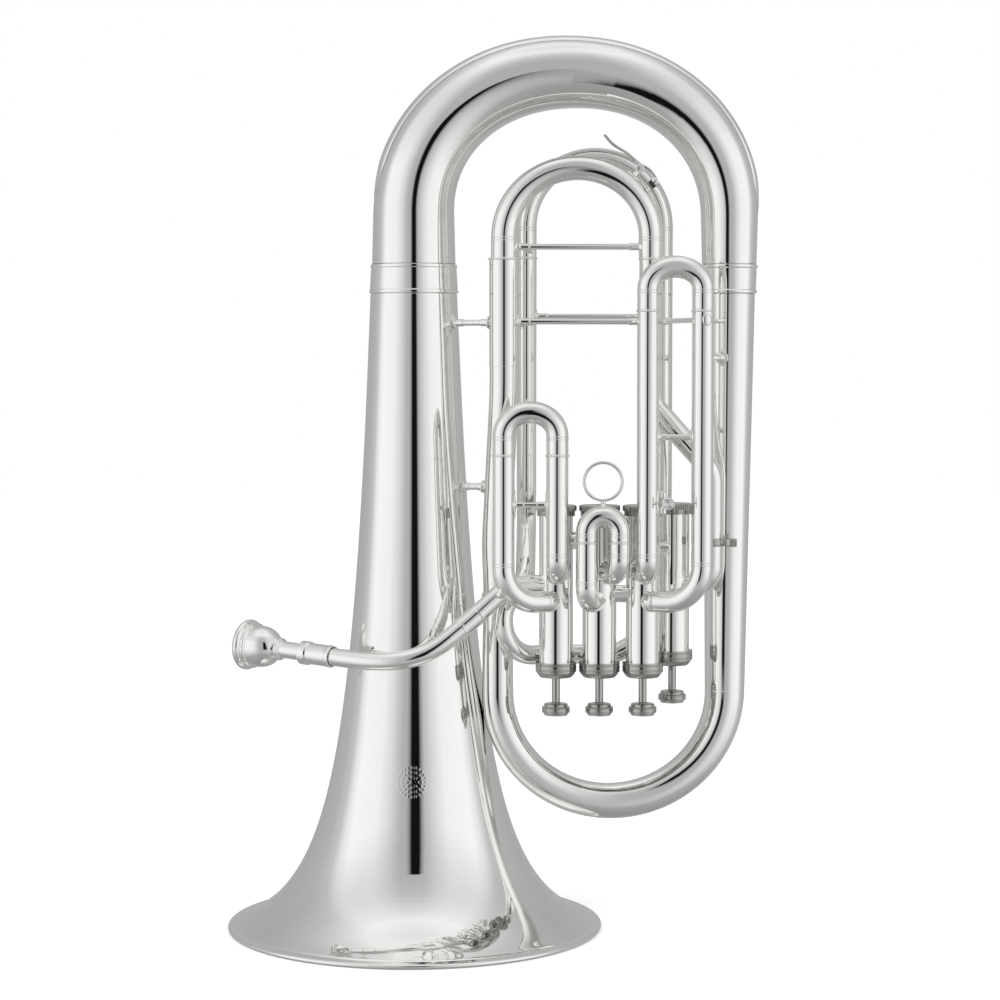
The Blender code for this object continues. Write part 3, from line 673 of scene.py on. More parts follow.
class Tube:
    """A CAD tube read back: its centre line and its outer and bore outlines."""

    def __init__(self, node):
        rings = rings_of(node)
        self.outer = [ring for ring in rings if ring.outer]
        self.spine = Spine(self.reaching([(ring.centre, ring.normal) for ring in self.outer]))
        self.seat_lengths = {int(length > 0) for length, *_ in self.seats()}
        self.outside = self.to_ends(self.outline(self.outer))
        self.inside = self.to_ends(self.outline([ring for ring in rings if not ring.outer]))[::-1]

    def to_ends(self, outline):
        """Runs the outline on to the ends of the centre line, or a little past them at a joint."""
        low = 0.0 if self.seat_lengths & {0} else -JOINT
        high = self.spine.total + (0.0 if self.seat_lengths & {1} else JOINT)
        first, last = outline[0], outline[-1]
        return [(low, first[1])] + outline[1:-1] + [(high, last[1])]

    @staticmethod
    def reaching(stations):
        """Bends an end on until it meets its casing squarely."""
        stations = Spine.directed(stations)
        for last, sign in ((0, -1), (-1, 1)):
            point, tangent = stations[last]
            seat = seat_at(point, tangent * sign)
            if not seat:
                continue
            axis, reach = seat
            away = Vector((axis.x - point.x, axis.y - point.y, 0))
            if away.normalized().dot(tangent * sign) > 0.97:
                continue
            ahead = point + tangent * sign * 4.0
            inward = Vector((axis.x - ahead.x, axis.y - ahead.y, 0)).normalized()
            landing = Vector((axis.x, axis.y, point.z + tangent.z * sign * 1.5)) - inward * (reach + 0.4)
            station = (landing, inward * sign)
            stations = [station] + stations if last == 0 else stations + [station]
        return stations

    def outline(self, rings):
        found = [(self.spine.length_at(ring.centre), ring.radius) for ring in rings]
        return found[::-1] if found[0][0] > found[-1][0] else found

    def radius_at(self, length):
        lengths = [entry[0] for entry in self.outside]
        return float(np.interp(length, lengths, [entry[1] for entry in self.outside]))

    def seats(self):
        found = []
        for length, sign in ((0.0, -1), (self.spine.total, 1)):
            point, tangent, _ = self.spine.frame_at(length)
            seat = seat_at(point, tangent * sign)
            if seat:
                found.append((length, tangent * sign, *seat))
        return found

    def bend_starts(self):
        """(centre, direction into the straight run, radius) wherever a straight run meets a bend."""
        stations = Spine.directed([(ring.centre, ring.normal) for ring in self.outer])
        for before, here, after in zip(stations, stations[1:], stations[2:]):
            radius = self.radius_at(self.spine.length_at(here[0]))
            if Spine.is_straight(before, here) and not Spine.is_straight(here, after):
                yield here[0], (before[0] - here[0]).normalized(), radius
            if Spine.is_straight(here, after) and not Spine.is_straight(before, here):
                yield here[0], (after[0] - here[0]).normalized(), radius

    def nearest(self, height, left):
        """The centre and radius where an upright leg passes a height."""
        found = []
        for length in np.arange(0.0, self.spine.total, 0.5):
            point, _, _ = self.spine.frame_at(length)
            if abs(point.z - height) < 0.6:
                found.append((point.x, point.y, self.radius_at(length)))
        x, y, radius = min(found) if left else max(found)
        return Vector((x, y, height)), radius


TUBE = {node: Tube(node) for node in TUBES}


def make_tubes():
    for node, tube in TUBE.items():
        shape = tube.outside + tube.inside
        edge = 0.05 if node in FLUSH else EDGE
        made = sweep(
            node + "_tube", tube.spine, shape, look_of(node), body_of(node), edge=edge, seats=tube.seats()
        )
        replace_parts(made, node)


# Rings, feet and rods


def bead_outline(radius, proud, width):
    """A half-round bead as a closed outline."""
    outline = [(-width / 2, radius - 0.3)]
    for step in range(7):
        angle = math.pi * step / 6
        outline.append((-width / 2 * math.cos(angle), radius + proud * math.sin(angle)))
    return outline + [(width / 2, radius - 0.3)]


def bead(name, centre, axis, radius, body, proud, width, material=SILVER):
    outline = bead_outline(radius, proud, width)
    turned(name, centre, axis, outline, material, body, True, AROUND, None, 0.02)


def make_solder_rings():
    """Thin double rings where a bow or an elbow is soldered to a straight tube."""
    for node in [tube for tube in TUBES if "slide" in tube]:
        for number, (centre, inward, radius) in enumerate(TUBE[node].bend_starts()):
            if abs(inward.z) < 0.99 or radius < 7.0:
                continue
            for line, gap in enumerate((0.6, 2.6)):
                name = f"{node}_solder_ring_{number}_{line}"
                bead(name, centre + inward * gap, inward, radius, body_of(node), 0.3, 0.7)


def make_sleeve_rims():
    """The stiffening ring round each sleeve's mouth."""
    for node in SLEEVES + TUNING_SLEEVES:
        tube = TUBE[node]
        ends = [tube.spine.frame_at(0.0)[0], tube.spine.frame_at(tube.spine.total)[0]]
        mouth = max(ends, key=lambda point: point.z)
        radius = max(radius for _, radius in tube.outside)
        bead(node + "_rim", mouth - Z_AXIS * 0.8, Z_AXIS, radius - 0.05, body_of(node), 0.95, 1.6)


def saddle(name, centre, along, outward, tube_radius, half, body, thick, curve):
    """A thin domed plate wrapped on a tube; `curve` 2 gives an oval and less gives a lozenge."""
    along = along.normalized()
    outward = (outward - along * outward.dot(along)).normalized()
    across = along.cross(outward)

    def place(u, v, lift):
        angle = v / tube_radius
        reach = tube_radius + lift
        return centre + along * u + (outward * math.cos(angle) + across * math.sin(angle)) * reach

    bm = bmesh.new()
    steps, turns = 5, 36
    shares = [math.sin(math.pi / 2 * (1 - step / steps)) for step in range(steps)]
    loops = []
    for share in [1.0] + shares:
        lift = -0.25 if not loops else thick * math.sqrt(max(0.0, 1 - share**3)) + 0.02
        loop = []
        for turn in range(turns):
            angle = 2 * math.pi * turn / turns
            u = squared(math.cos(angle), 2 / curve) * half[0] * share
            v = squared(math.sin(angle), 2 / curve) * half[1] * share
            loop.append(bm.verts.new(place(u, v, lift)))
        loops.append(loop)
    under = bm.verts.new(place(0, 0, -0.25))
    top = bm.verts.new(place(0, 0, thick + 0.02))
    bridge(bm, [[under]] + loops + [[top]])
    return finish_mesh(name, bm, SILVER, body)


def rod_outline(length, radius, socket):
    """A rod whose ends sit in stepped sockets and sink into their tubes."""
    half = [(-1.5, radius + 0.9), (0.7, radius + 0.9), (1.5, radius + 0.45)]
    half += [(socket, radius + 0.45), (socket + 0.3, radius)]
    return half + [(length - height, reach) for height, reach in reversed(half)]


def make_rod(name, start, end, radius, body, socket=8.0):
    along = (end - start).normalized()
    length = (end - start).length
    outline = from_axis(rod_outline(length, radius, min(socket, length / 3.5)))
    return turned(name, start, along, outline, SILVER, body, False, 40)


# For each node with a fused rod: the feet's half length and half width, and their corner curve
ROD_FEET = {
    "main_tuning_slide": (4.6, 4.0, 2.0),
    "large_tuning_sleeve": (5.0, 4.4, 2.0),
    "fourth_loop_inlet_tube": (4.6, 4.0, 2.0),
    "first_slide_inlet_tube": (10.8, 4.2, 1.35),
    "third_slide_inlet_tube": (7.0, 4.0, 1.5),
    "third_slide_outlet_tube": (4.4, 3.6, 2.0),
}


# Radius of the tube at the far end of a fused rod, where it differs from the near one
FAR_RADIUS = {"large_tuning_sleeve": 8.1, "third_slide_outlet_tube": 7.4}
ROD_GAP = 0.4  # how far a rod stops short of a tube that it isn't fused to


def make_fused_rods():
    for node, (half_length, half_width, curve) in ROD_FEET.items():
        first, last = rod_rings(node)
        name = node + "_brace_rod"
        body = body_of(node)
        half = (half_length, half_width)
        along = (last.centre - first.centre).normalized()
        make_rod(name, first.centre, last.centre + along * 0.6, max(first.radius, 1.6), body)
        near, near_radius = TUBE[node].nearest(first.centre.z, first.centre.x < last.centre.x)
        saddle(name + "_foot", near, Z_AXIS, along, near_radius, half, body, 0.8, curve)
        far_radius = FAR_RADIUS.get(node, near_radius)
        gap = 0.0 if node == "main_tuning_slide" else ROD_GAP
        far = last.centre + along * (far_radius + gap)
        saddle(name + "_far_foot", far, Z_AXIS, -along, far_radius, half, body, 0.8, curve)


# Bell


BELL_X = middle_of("bell").x
BELL_WALL = 0.8
BEAD_RADIUS = 1.75
BEAD_CENTRE = (box_mm("bell")[1].x - box_mm("bell")[0].x) / 2 - BEAD_RADIUS


def bell_flare():
    """The spigot's rings, and the wall as (point, direction) pairs on a smooth curve."""
    outer = [ring for ring in rings_of("bell") if ring.outer]
    outer.sort(key=lambda ring: (-round(ring.centre.z), ring.radius))
    wall = [ring for ring in outer[2:] if ring.radius < BEAD_CENTRE - 4]
    return outer[:2], clamped_path([Vector((ring.centre.z, ring.radius, 0)) for ring in wall])


SPIGOT, FLARE = bell_flare()


def bell_radius_at(height):
    wall = sorted((point.x, point.y) for point, _ in FLARE)
    return float(np.interp(height, [place for place, _ in wall], [radius for _, radius in wall]))


def make_bell():
    """The flare as one smooth curve through the CAD rings, with a rolled rim."""
    outline = [(ring.centre.z, ring.radius) for ring in SPIGOT]
    outline += [(point.x, point.y) for point, _ in FLARE]
    for step in range(13):
        angle = math.radians(-30 + 20 * step)
        outline.append((BEAD_RADIUS * (1 + math.cos(angle)), BEAD_CENTRE + BEAD_RADIUS * math.sin(angle)))
    for point, along in reversed(FLARE):
        outline.append((point.x + BELL_WALL * along.y, point.y - BELL_WALL * abs(along.x)))
    outline.append((SPIGOT[0].centre.z, SPIGOT[0].radius - BELL_WALL))
    axis = Vector((BELL_X, 0, 0))
    made = turned("bell_flare", axis, Z_AXIS, outline, SILVER, body_of("bell"), True, 160)
    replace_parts(made, "bell")


# Turned parts


def turned_from(node):
    """A fine turned part in place of a CAD node whose rings share one axis."""
    rings = rings_of(node)
    base = rings[0].centre
    far = max(rings, key=lambda ring: (ring.centre - base).length)
    axis = (far.centre - base).normalized()
    outline = [((ring.centre - base).dot(axis), ring.radius) for ring in rings]
    closed = any(not ring.outer for ring in rings)
    outline = outline if closed else from_axis(outline)
    made = turned(node + "_turned", base, axis, outline, look_of(node), body_of(node), closed, 72)
    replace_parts(made, node)


FERRULES = ["bell_ferrule", "bow_ferrule", "branch_ferrule", "mouthpiece_receiver"]
BRACES = ["bell_upper_brace", "bell_middle_brace", "leadpipe_brace", "outer_branch_brace"]
VALVE_PARTS = [valve + part for part in ("_valve_casing", "_piston") for valve in VALVES]
TURNED = FERRULES + BRACES + ["water_key_cork"] + VALVE_PARTS


def make_turned_parts():
    for node in TURNED:
        turned_from(node)


# Knurled caps and buttons


GROOVE_WIDTH = 0.35
GROOVE_DEPTH = 0.22


def knurl(count, depth, low, high):
    """Flutes round a turned part between two heights."""

    def relief(height, radius, angle):
        inside = low < height < high and radius > 9.0
        return -depth * abs(math.sin(count * angle / 2)) if inside else 0.0

    return relief


def grooved(low, high, radius, lines):
    """A plain band with grooves at the given heights."""
    outline = [(low, radius)]
    for line in lines:
        groove = [(-GROOVE_WIDTH, 0.0), (-GROOVE_WIDTH / 2, -GROOVE_DEPTH)]
        groove += [(-rise, drop) for rise, drop in reversed(groove)]
        outline += [(line + rise, radius + drop) for rise, drop in groove]
    return outline + [(high, radius)]


def measured(node):
    """The foot of an upright node's axis, its height and its radius."""
    low, high = box_mm(node)
    middle = middle_of(node)
    return Vector((middle.x, middle.y, low.z)), high.z - low.z, (high.x - low.x) / 2


def knurled(node, base, outline, flutes, around=208):
    made = turned(
        node + "_knurled", base, Z_AXIS, outline, NICKEL, body_of(node), False, around, flutes, 0.08
    )
    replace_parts(made, node)


def make_finger_cap(valve):
    node = valve + "_valve_top_cap"
    base, tall, radius = measured(node)
    taper = 0.36 * tall
    outline = [(0.0, radius - 3.6), (0.7, radius - 2.9), (taper - 0.8, radius - 0.9)]
    outline += [(taper - 0.5, radius - 1.2), (taper, radius - 1.2)]
    lines = (taper + 1.3, taper + 2.2, tall - 2.0, tall - 1.1)
    outline += grooved(taper + 0.3, tall, radius, lines)
    knurled(node, base, from_axis(outline), knurl(52, 0.5, 0.8, taper - 0.6))


def make_spring_cap(valve):
    node = valve + "_valve_bottom_cap"
    base, tall, radius = measured(node)
    outline = grooved(0.0, tall * 0.45, radius - 1.0, (1.2, 2.1))
    outline += [(tall * 0.48, radius), (tall - 0.9, radius), (tall - 0.2, radius - 0.8)]
    outline += [(tall, radius - 2.0), (tall, 4.0), (tall - 0.8, 3.2)]
    knurled(node, base, from_axis(outline), knurl(52, 0.5, tall * 0.47, tall - 0.5))


def make_button(valve):
    node = valve + "_finger_button"
    base, tall, radius = measured(node)
    band_low, band_high = 0.24 * tall, 0.66 * tall
    outline = [(0.25, 0.0), (0.25, radius - 2.6), (0.0, radius - 2.2), (0.0, radius - 1.9)]
    outline += [(0.5, radius - 1.5), (band_low - 0.6, radius - 1.4), (band_low - 0.2, radius - 0.3)]
    outline += grooved(band_low, band_high, radius, (band_low + 0.8, band_high - 0.8))
    outline += [(band_high + 0.2, radius - 0.4), (band_high + 0.5, radius - 1.6)]
    outline += [(0.90 * tall, radius - 1.6), (0.95 * tall, radius - 2.2), (0.95 * tall, 3.9)]
    outline += [(tall, 3.7), (tall, 0.0)]
    knurled(node, base, outline, knurl(64, 0.35, band_low + 1.3, band_high - 1.3), 256)


SPRING_WIRE = 0.7  # radius of the wire


def coil_mesh(axis, low, high, radius, wire, turns):
    bm = bmesh.new()
    loops = []
    steps = turns * 24
    for step in range(steps + 1):
        angle = 2 * math.pi * step / 24
        rise = low + wire + (high - low - 2 * wire) * step / steps
        outward = Vector((math.cos(angle), math.sin(angle), 0))
        centre = Vector((axis.x, axis.y, rise)) + outward * radius
        loops.append(circle(bm, centre, outward, Z_AXIS, wire, 8))
    bridge(bm, loops, capped=True)
    return bm


def travel(joint):
    """A sliding joint's longest travel from rest, in metres."""
    joints = {entry["name"]: entry for entry in frame["record"]["behaviour"]["joints"]}
    return max(abs(limit) for limit in joints[joint]["range_m"])


def make_spring(valve):
    node = valve + "_valve_spring"
    base, tall, radius = measured(node)
    bm = coil_mesh(base, base.z, base.z + tall, radius - SPRING_WIRE - 0.05, SPRING_WIRE, 9)
    made = finish_mesh(node + "_coil", bm, STEEL, body_of(node))
    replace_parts(made, node)
    press = valve + "_valve_press"
    keep = 1 - travel(press) / (tall * MM)
    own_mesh(made)


def make_casing_links():
    """The short tubes that join neighbouring casings."""
    for valve in VALVES:
        node = valve + "_valve_casing"
        rings = rod_rings(node, 10)
        if len(rings) < 2:
            continue
        rings.sort(key=lambda ring: ring.centre.x)
        start, end = rings[0].centre, rings[-1].centre
        along = (end - start).normalized()
        radius = max(ring.radius for ring in rings)
        reach = (end - start).length
        outline = [(-0.4, radius), (reach + 0.4, radius), (reach + 0.4, radius - 0.9), (-0.4, radius - 0.9)]
        seats = []
        for length, point, outward in ((0.0, start, -along), (reach, end, along)):
            seat = seat_at(point, outward)
            if seat:
                seats.append((length, outward, *seat))
        spine = straight_spine(start, end)
        sweep(node + "_link", spine, outline, SILVER, body_of(node), seats=seats)


# Fittings


def surface_near(point):
    """(centre, direction, radius) of the tube or of the bell that is nearest to a point."""
    best = None
    for tube in TUBE.values():
        length = min(max(tube.spine.length_at(point), 0.0), tube.spine.total)
        centre, tangent, _ = tube.spine.frame_at(length)
        gap = abs((point - centre).length - tube.radius_at(length))
        if best is None or gap < best[0]:
            best = (gap, centre, tangent, tube.radius_at(length))
    radius = bell_radius_at(point.z)
    centre = Vector((BELL_X, 0, point.z))
    if abs((point - centre).length - radius) < best[0]:
        slope = (bell_radius_at(point.z + 3) - bell_radius_at(point.z - 3)) / 6
        best = (0, centre, Z_AXIS + (point - centre).normalized() * slope, radius)
    return best[1:]


def foot(name, point, half, body, curve):
    centre, along, radius = surface_near(point)
    saddle(name, centre, along, point - centre, radius, half, body, 0.8, curve)


# For each separate brace, the (half length, half width, curve) of the foot at each end
BRACE_FEET = {
    "bell_upper_brace": ((6.0, 4.2, 2.0), (6.0, 4.2, 2.0)),
    "bell_middle_brace": ((11.0, 5.0, 1.4), (7.0, 4.4, 1.5)),
    "leadpipe_brace": ((6.0, 4.0, 1.6), (6.0, 4.0, 1.6)),
    "outer_branch_brace": ((6.5, 4.2, 1.6), (6.5, 4.2, 1.6)),
}


def make_brace_feet():
    for node, feet in BRACE_FEET.items():
        rings = rings_of(node)
        ends = sorted((rings[0].centre, rings[-1].centre), key=lambda point: point.x)
        slim = max(1.7, min(ring.radius for ring in rings))
        make_rod(node + "_rod", ends[0], ends[1], slim, body_of(node), 7.0)
        for number, (point, (half_length, half_width, curve)) in enumerate(zip(ends, feet)):
            foot(f"{node}_foot_{number}", point, (half_length, half_width), body_of(node), curve)


def ring_mesh(centre, normal, radius, wire):
    bm = bmesh.new()
    first = normal.orthogonal().normalized()
    second = normal.cross(first)
    loops = []
    for step in range(72):
        angle = 2 * math.pi * step / 72
        outward = first * math.cos(angle) + second * math.sin(angle)
        loops.append(circle(bm, centre + outward * radius, outward, normal, wire, 16))
    bridge(bm, loops, closed=True)
    return bm


# The finger ring: its distance from the bell's plane, the radius of its middle line and of its wire
RING_Y = -70.0
RING_RADIUS = 13.6
RING_WIRE = 1.15


def make_pull_ring():
    """The finger ring on the second slide, with its turned neck."""
    _, high = box_mm("second_slide")
    body = body_of("second_slide")
    centre = Vector((middle_of("second_slide").x, RING_Y, high.z - RING_WIRE - RING_RADIUS - 0.05))
    bm = ring_mesh(centre, Y_AXIS, RING_RADIUS, RING_WIRE)
    finish_mesh("second_slide_pull_ring", bm, SILVER, body)
    neck = [(-5.0, 0.0), (-5.0, 3.1), (-3.6, 2.6), (-2.6, 1.7), (-1.6, 1.9), (-0.6, 1.4), (0.4, 0.0)]
    turned("second_slide_ring_neck", centre - Z_AXIS * RING_RADIUS, Z_AXIS, neck, SILVER, body)


def ribbon(name, points, widths, thick, material, body):
    """A bent strap of metal whose width runs along Y."""
    stations = clamped_path(points)
    bm = bmesh.new()
    loops = []
    for number, (point, tangent) in enumerate(stations):
        share = number / (len(stations) - 1)
        width = float(np.interp(share, np.linspace(0, 1, len(widths)), widths)) / 2
        up = tangent.cross(Y_AXIS).normalized()
        loop = []
        for part in range(16):
            angle = 2 * math.pi * part / 16
            across = squared(math.cos(angle), 0.6) * width
            rise = squared(math.sin(angle), 0.6) * thick / 2
            loop.append(bm.verts.new(point + Y_AXIS * across + up * rise))
        loops.append(loop)
    bridge(bm, loops, capped=True)
    return finish_mesh(name, bm, material, body)


# The water key's side view, as (across, up) from its pivot
KEY_LEVER = ((-26.2, 24.2), (-20.5, 17.9), (-10.1, 11.2), (-2.7, 5.0), (0.4, 2.6), (3.4, 0.4))
KEY_ARM = ((0.6, 2.4), (4.6, 0.3), (9.0, -3.8))
# The cup that holds the cork, as (height above the cork's middle, radius), and where the arm meets it
KEY_CUP = [(0.8, 3.4), (0.9, 4.0), (3.9, 4.0), (4.6, 3.4)]
KEY_CUP_TOP = 4.1
# The web between the lever, its barrel and the cup, as (across, up) from the pivot
KEY_WEB = [(-10.1, 10.9), (-2.7, 4.8), (0.6, 2.3), (4.6, 0.2), (9.0, -3.9), (11.3, -7.2)]
KEY_WEB += [(8.1, -7.6), (4.5, -3.2), (1.6, -0.6), (-1.6, 0.8), (-3.4, 3.2), (-6.4, 6.8)]
KEY_WEB_THICK = 2.4
KEY_PIVOT = Vector((107.5, -30.0, 563.6))


def upright_plate(name, outline, thick, material, body):
    """A flat plate whose outline lies in a plane across Y."""
    bm = bmesh.new()
    half = Y_AXIS * thick / 2
    loops = [[bm.verts.new(point + side) for point in outline] for side in (-half, half)]
    bridge(bm, loops, capped=True)
    return finish_mesh(name, bm, material, body)


def from_pivot(side_view):
    return [KEY_PIVOT + Vector((across, 0, up)) for across, up in side_view]


def make_water_key():
    body = body_of("water_key")
    cork = middle_of("water_key_cork")
    seat, _, seat_radius = surface_near(cork)
    drain = (cork - seat).normalized()
    widths = (5.6, 6.6, 5.2, 4.0, 4.0)
    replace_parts(ribbon("water_key_lever", from_pivot(KEY_LEVER), widths, 2.0, SILVER, body), "water_key")
    arm = from_pivot(KEY_ARM) + [cork + drain * KEY_CUP_TOP]
    ribbon("water_key_arm", arm, (4.0, 4.4, 5.6, 6.2), 2.0, SILVER, body)
    upright_plate("water_key_web", from_pivot(KEY_WEB), KEY_WEB_THICK, SILVER, body)
    turned("water_key_cup", cork, drain, from_axis(KEY_CUP), SILVER, body, False, 32)
    barrel = from_axis([(-3.2, 2.3), (-2.6, 2.9), (-1.9, 2.5), (1.9, 2.5), (2.6, 2.9), (3.2, 2.3)])
    turned("water_key_barrel", KEY_PIVOT, Y_AXIS, barrel, SILVER, body, False, 32, None, 0.1)
    fixed = body_of("main_tuning_slide")
    centre, along, radius = surface_near(KEY_PIVOT)
    outward = (KEY_PIVOT - centre).normalized()
    saddle("water_key_saddle", centre, along, outward, radius, (7.0, 4.4), fixed, 0.9, 1.6)
    rise = (KEY_PIVOT - centre).length - radius
    post = from_axis([(0.0, 3.0), (1.2, 2.2), (rise - 2.8, 1.7)])
    turned("water_key_post", centre + outward * radius, outward, post, SILVER, fixed, False, 32)
    nipple = from_axis([(-1.0, 3.6), (0.5, 3.5), (1.0, 2.7), (2.0, 2.6)])
    turned("water_key_nipple", seat + drain * seat_radius, drain, nipple, SILVER, fixed)


GUARD_TIPS = (Vector((BELL_X, 0, 541.0)), Vector((175.3, 0, 533.0)))
GUARD_REACH = math.radians(27)  # from the middle of the guard to its edge, round the bow


def make_bow_guard():
    """A thin crescent-shaped plate on the outside of the top bow."""
    tube = TUBE["top_bow"]
    spine = tube.spine
    begin, end = sorted(spine.length_at(tip) for tip in GUARD_TIPS)
    hub = middle_of("top_bow")
    places = np.arange(begin, end, 1.0)
    crown = max(spine.frame_at(length)[0].z + tube.radius_at(length) for length in places)
    thick = min(1.9, box_mm("bow_guard")[1].z - crown - 0.3)
    bm = bmesh.new()
    rows = []
    steps, turns = 110, 22
    for step in range(steps + 1):
        share = step / steps
        point, tangent, _ = spine.frame_at(begin + (end - begin) * share)
        outward = tangent.cross(Y_AXIS).normalized()
        outward = outward if outward.dot(point - hub) > 0 else -outward
        radius = tube.radius_at(begin + (end - begin) * share)
        tip = min(share, 1 - share) / 0.07
        half = GUARD_REACH * math.sqrt(max(0.0, 1 - (1 - min(tip, 1.0)) ** 2)) + 0.01
        row = []
        for turn in range(2 * turns):
            upper = turn < turns
            place = turn / (turns - 1) if upper else (2 * turns - 1 - turn) / (turns - 1)
            angle = half * (2 * place - 1)
            dome = thick * min(1.0, tip + 0.05) * (1 - abs(2 * place - 1) ** 5)
            reach = radius + (0.15 + dome if upper else -0.3)
            row.append(bm.verts.new(point + (outward * math.cos(angle) + Y_AXIS * math.sin(angle)) * reach))
        rows.append(row)
    bridge(bm, rows, capped=True)
    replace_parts(finish_mesh("bow_guard_plate", bm, SILVER, body_of("bow_guard")), "bow_guard")


def make_lyre_holder():
    """A lozenge foot with two lobes, and a boss for the clamping screw."""
    low, _ = box_mm("lyre_holder")
    body = body_of("lyre_holder")
    middle = middle_of("lyre_holder")
    back = Vector((low.x, middle.y, middle.z))
    upper = [(2.4, 1.5), (3.6, 2.5), (7.6, 2.5), (8.6, 1.4)]
    lobes = from_axis([(-height, radius) for height, radius in reversed(upper)] + upper)
    made = turned("lyre_holder_lobes", back + X_AXIS * 2.4, Z_AXIS, lobes, SILVER, body)
    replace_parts(made, "lyre_holder")
    boss = from_axis([(0.3, 3.4), (0.9, 3.9), (7.0, 3.9), (7.6, 3.4)])
    screw = middle_of("lyre_screw")
    turned("lyre_holder_boss", Vector((screw.x, low.y, screw.z)), Y_AXIS, boss, SILVER, body, False, 48)
    foot("lyre_holder_foot", back, (11.5, 4.6), body, 1.35)


# The mouthpiece's outside, as (distance from its face, radius)
MOUTHPIECE = [(0.0, 15.6), (0.2, 16.8), (0.8, 17.9), (1.8, 18.6), (3.2, 18.9), (4.6, 18.5)]
MOUTHPIECE += [(5.6, 17.6), (6.3, 16.3), (7.0, 16.3), (7.8, 17.0), (9.0, 17.0), (9.8, 16.2)]
MOUTHPIECE += [(10.2, 15.3), (13.0, 15.5), (16.0, 15.4), (19.0, 14.9), (22.0, 13.9), (24.6, 12.5)]
MOUTHPIECE += [(26.8, 10.8), (28.6, 9.0), (30.0, 7.4), (30.8, 7.0), (31.6, 7.9), (32.4, 8.3)]
MOUTHPIECE += [(33.4, 8.2), (34.2, 7.2), (34.8, 6.4), (38.0, 6.3), (46.0, 6.3)]


def make_mouthpiece():
    rings = rings_of("mouthpiece")
    outer = [ring for ring in rings if ring.outer]
    inner = [ring for ring in rings if not ring.outer]
    shank = min(outer, key=lambda ring: ring.radius)
    face = max(rings, key=lambda ring: (ring.centre - shank.centre).length)
    axis = (shank.centre - face.centre).normalized()
    outline = MOUTHPIECE + [((shank.centre - face.centre).dot(axis), shank.radius)]
    bore = sorted(((ring.centre - face.centre).dot(axis), ring.radius) for ring in inner)
    outline += [entry for entry in reversed(bore) if entry[0] > 0.5]
    outline += [(0.4, 14.2)]
    body = body_of("mouthpiece")
    made = turned("mouthpiece_turned", face.centre, axis, outline, SILVER, body, True, 96)
    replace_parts(made, "mouthpiece")


ROSETTE_HEIGHT = 118.5
# Each circle of petals: its radius, their number, half length and half width
PETALS = ((3.9, 8, 1.7, 1.0), (7.2, 16, 1.3, 1.0), (10.4, 24, 1.4, 0.9))


def on_bell(across, up, lift):
    """A point on the front of the bell, from its distance across and its height."""
    radius = bell_radius_at(up)
    angle = across / radius
    return Vector((BELL_X + (radius + lift) * math.sin(angle), -(radius + lift) * math.cos(angle), up))


def low_mound(bm, centre, outline, lift):
    """A shallow closed mound on the bell over an outline given round its centre."""
    rim = [bm.verts.new(on_bell(centre[0] + x, centre[1] + y, 0.0)) for x, y in outline]
    top = bm.verts.new(on_bell(*centre, lift))
    under = bm.verts.new(on_bell(*centre, -0.3))
    for before, after in zip(rim, rim[1:] + rim[:1]):
        bm.faces.new((before, after, top))
        bm.faces.new((after, before, under))


def make_rosette():
    """A plain engraved rosette on the front of the bell."""
    bm = bmesh.new()
    for reach, count, half_length, half_width in PETALS:
        for petal in range(count):
            turn = 2 * math.pi * petal / count
            outline = []
            for step in range(14):
                angle = 2 * math.pi * step / 14
                along, aside = half_length * math.cos(angle), half_width * math.sin(angle)
                x = along * math.cos(turn) - aside * math.sin(turn)
                outline.append((x, along * math.sin(turn) + aside * math.cos(turn)))
            low_mound(bm, (reach * math.cos(turn), ROSETTE_HEIGHT + reach * math.sin(turn)), outline, 0.14)
    outline = [(1.6 * math.cos(step * 0.45), 1.6 * math.sin(step * 0.45)) for step in range(14)]
    low_mound(bm, (0.0, ROSETTE_HEIGHT), outline, 0.14)
    finish_mesh("bell_rosette", bm, SILVER, body_of("bell"), 80.0)


def make_lyre_screw():
    """A flat thumb disc with a finely turned face."""
    low, high = box_mm("lyre_screw")
    middle = middle_of("lyre_screw")
    base = Vector((middle.x, low.y, middle.z))
    radius = (high.x - low.x) / 2
    outline = [(0.35, 0.0)]
    for step in range(1, 15):
        outline.append((0.35 - 0.09 * (step % 2), radius * step / 17))
    outline += [(0.3, radius - 0.5), (0.7, radius - 0.1), (2.6, radius - 0.1), (3.0, radius - 0.6)]
    outline += [(3.4, 1.9), (high.y - low.y, 1.5), (high.y - low.y, 0.0)]
    body = body_of("lyre_screw")
    made = turned("lyre_screw_turned", base, Y_AXIS, outline, SILVER, body, False, 72, None, 0.05)
    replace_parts(made, "lyre_screw")


SLEEVE_PLACE = Vector((-13.0, -50.0, 230.0))


def make_leadpipe_sleeve():
    """The stepped sleeve where the leadpipe is joined."""
    tube = TUBE["leadpipe"]
    middle = tube.spine.length_at(SLEEVE_PLACE)
    radius = tube.radius_at(middle)
    half = [(-9.0, 0.0), (-9.0, 0.9), (-7.4, 0.9), (-7.0, 0.5)]
    steps = half + [(-along, proud) for along, proud in reversed(half)]
    outline = [(middle + along, radius + proud) for along, proud in steps]
    sweep("leadpipe_sleeve", tube.spine, outline, SILVER, body_of("leadpipe"), True, AROUND, None, 0.15)


CLAMP_PLACE = Vector((168.7, -31.0, 291.0))


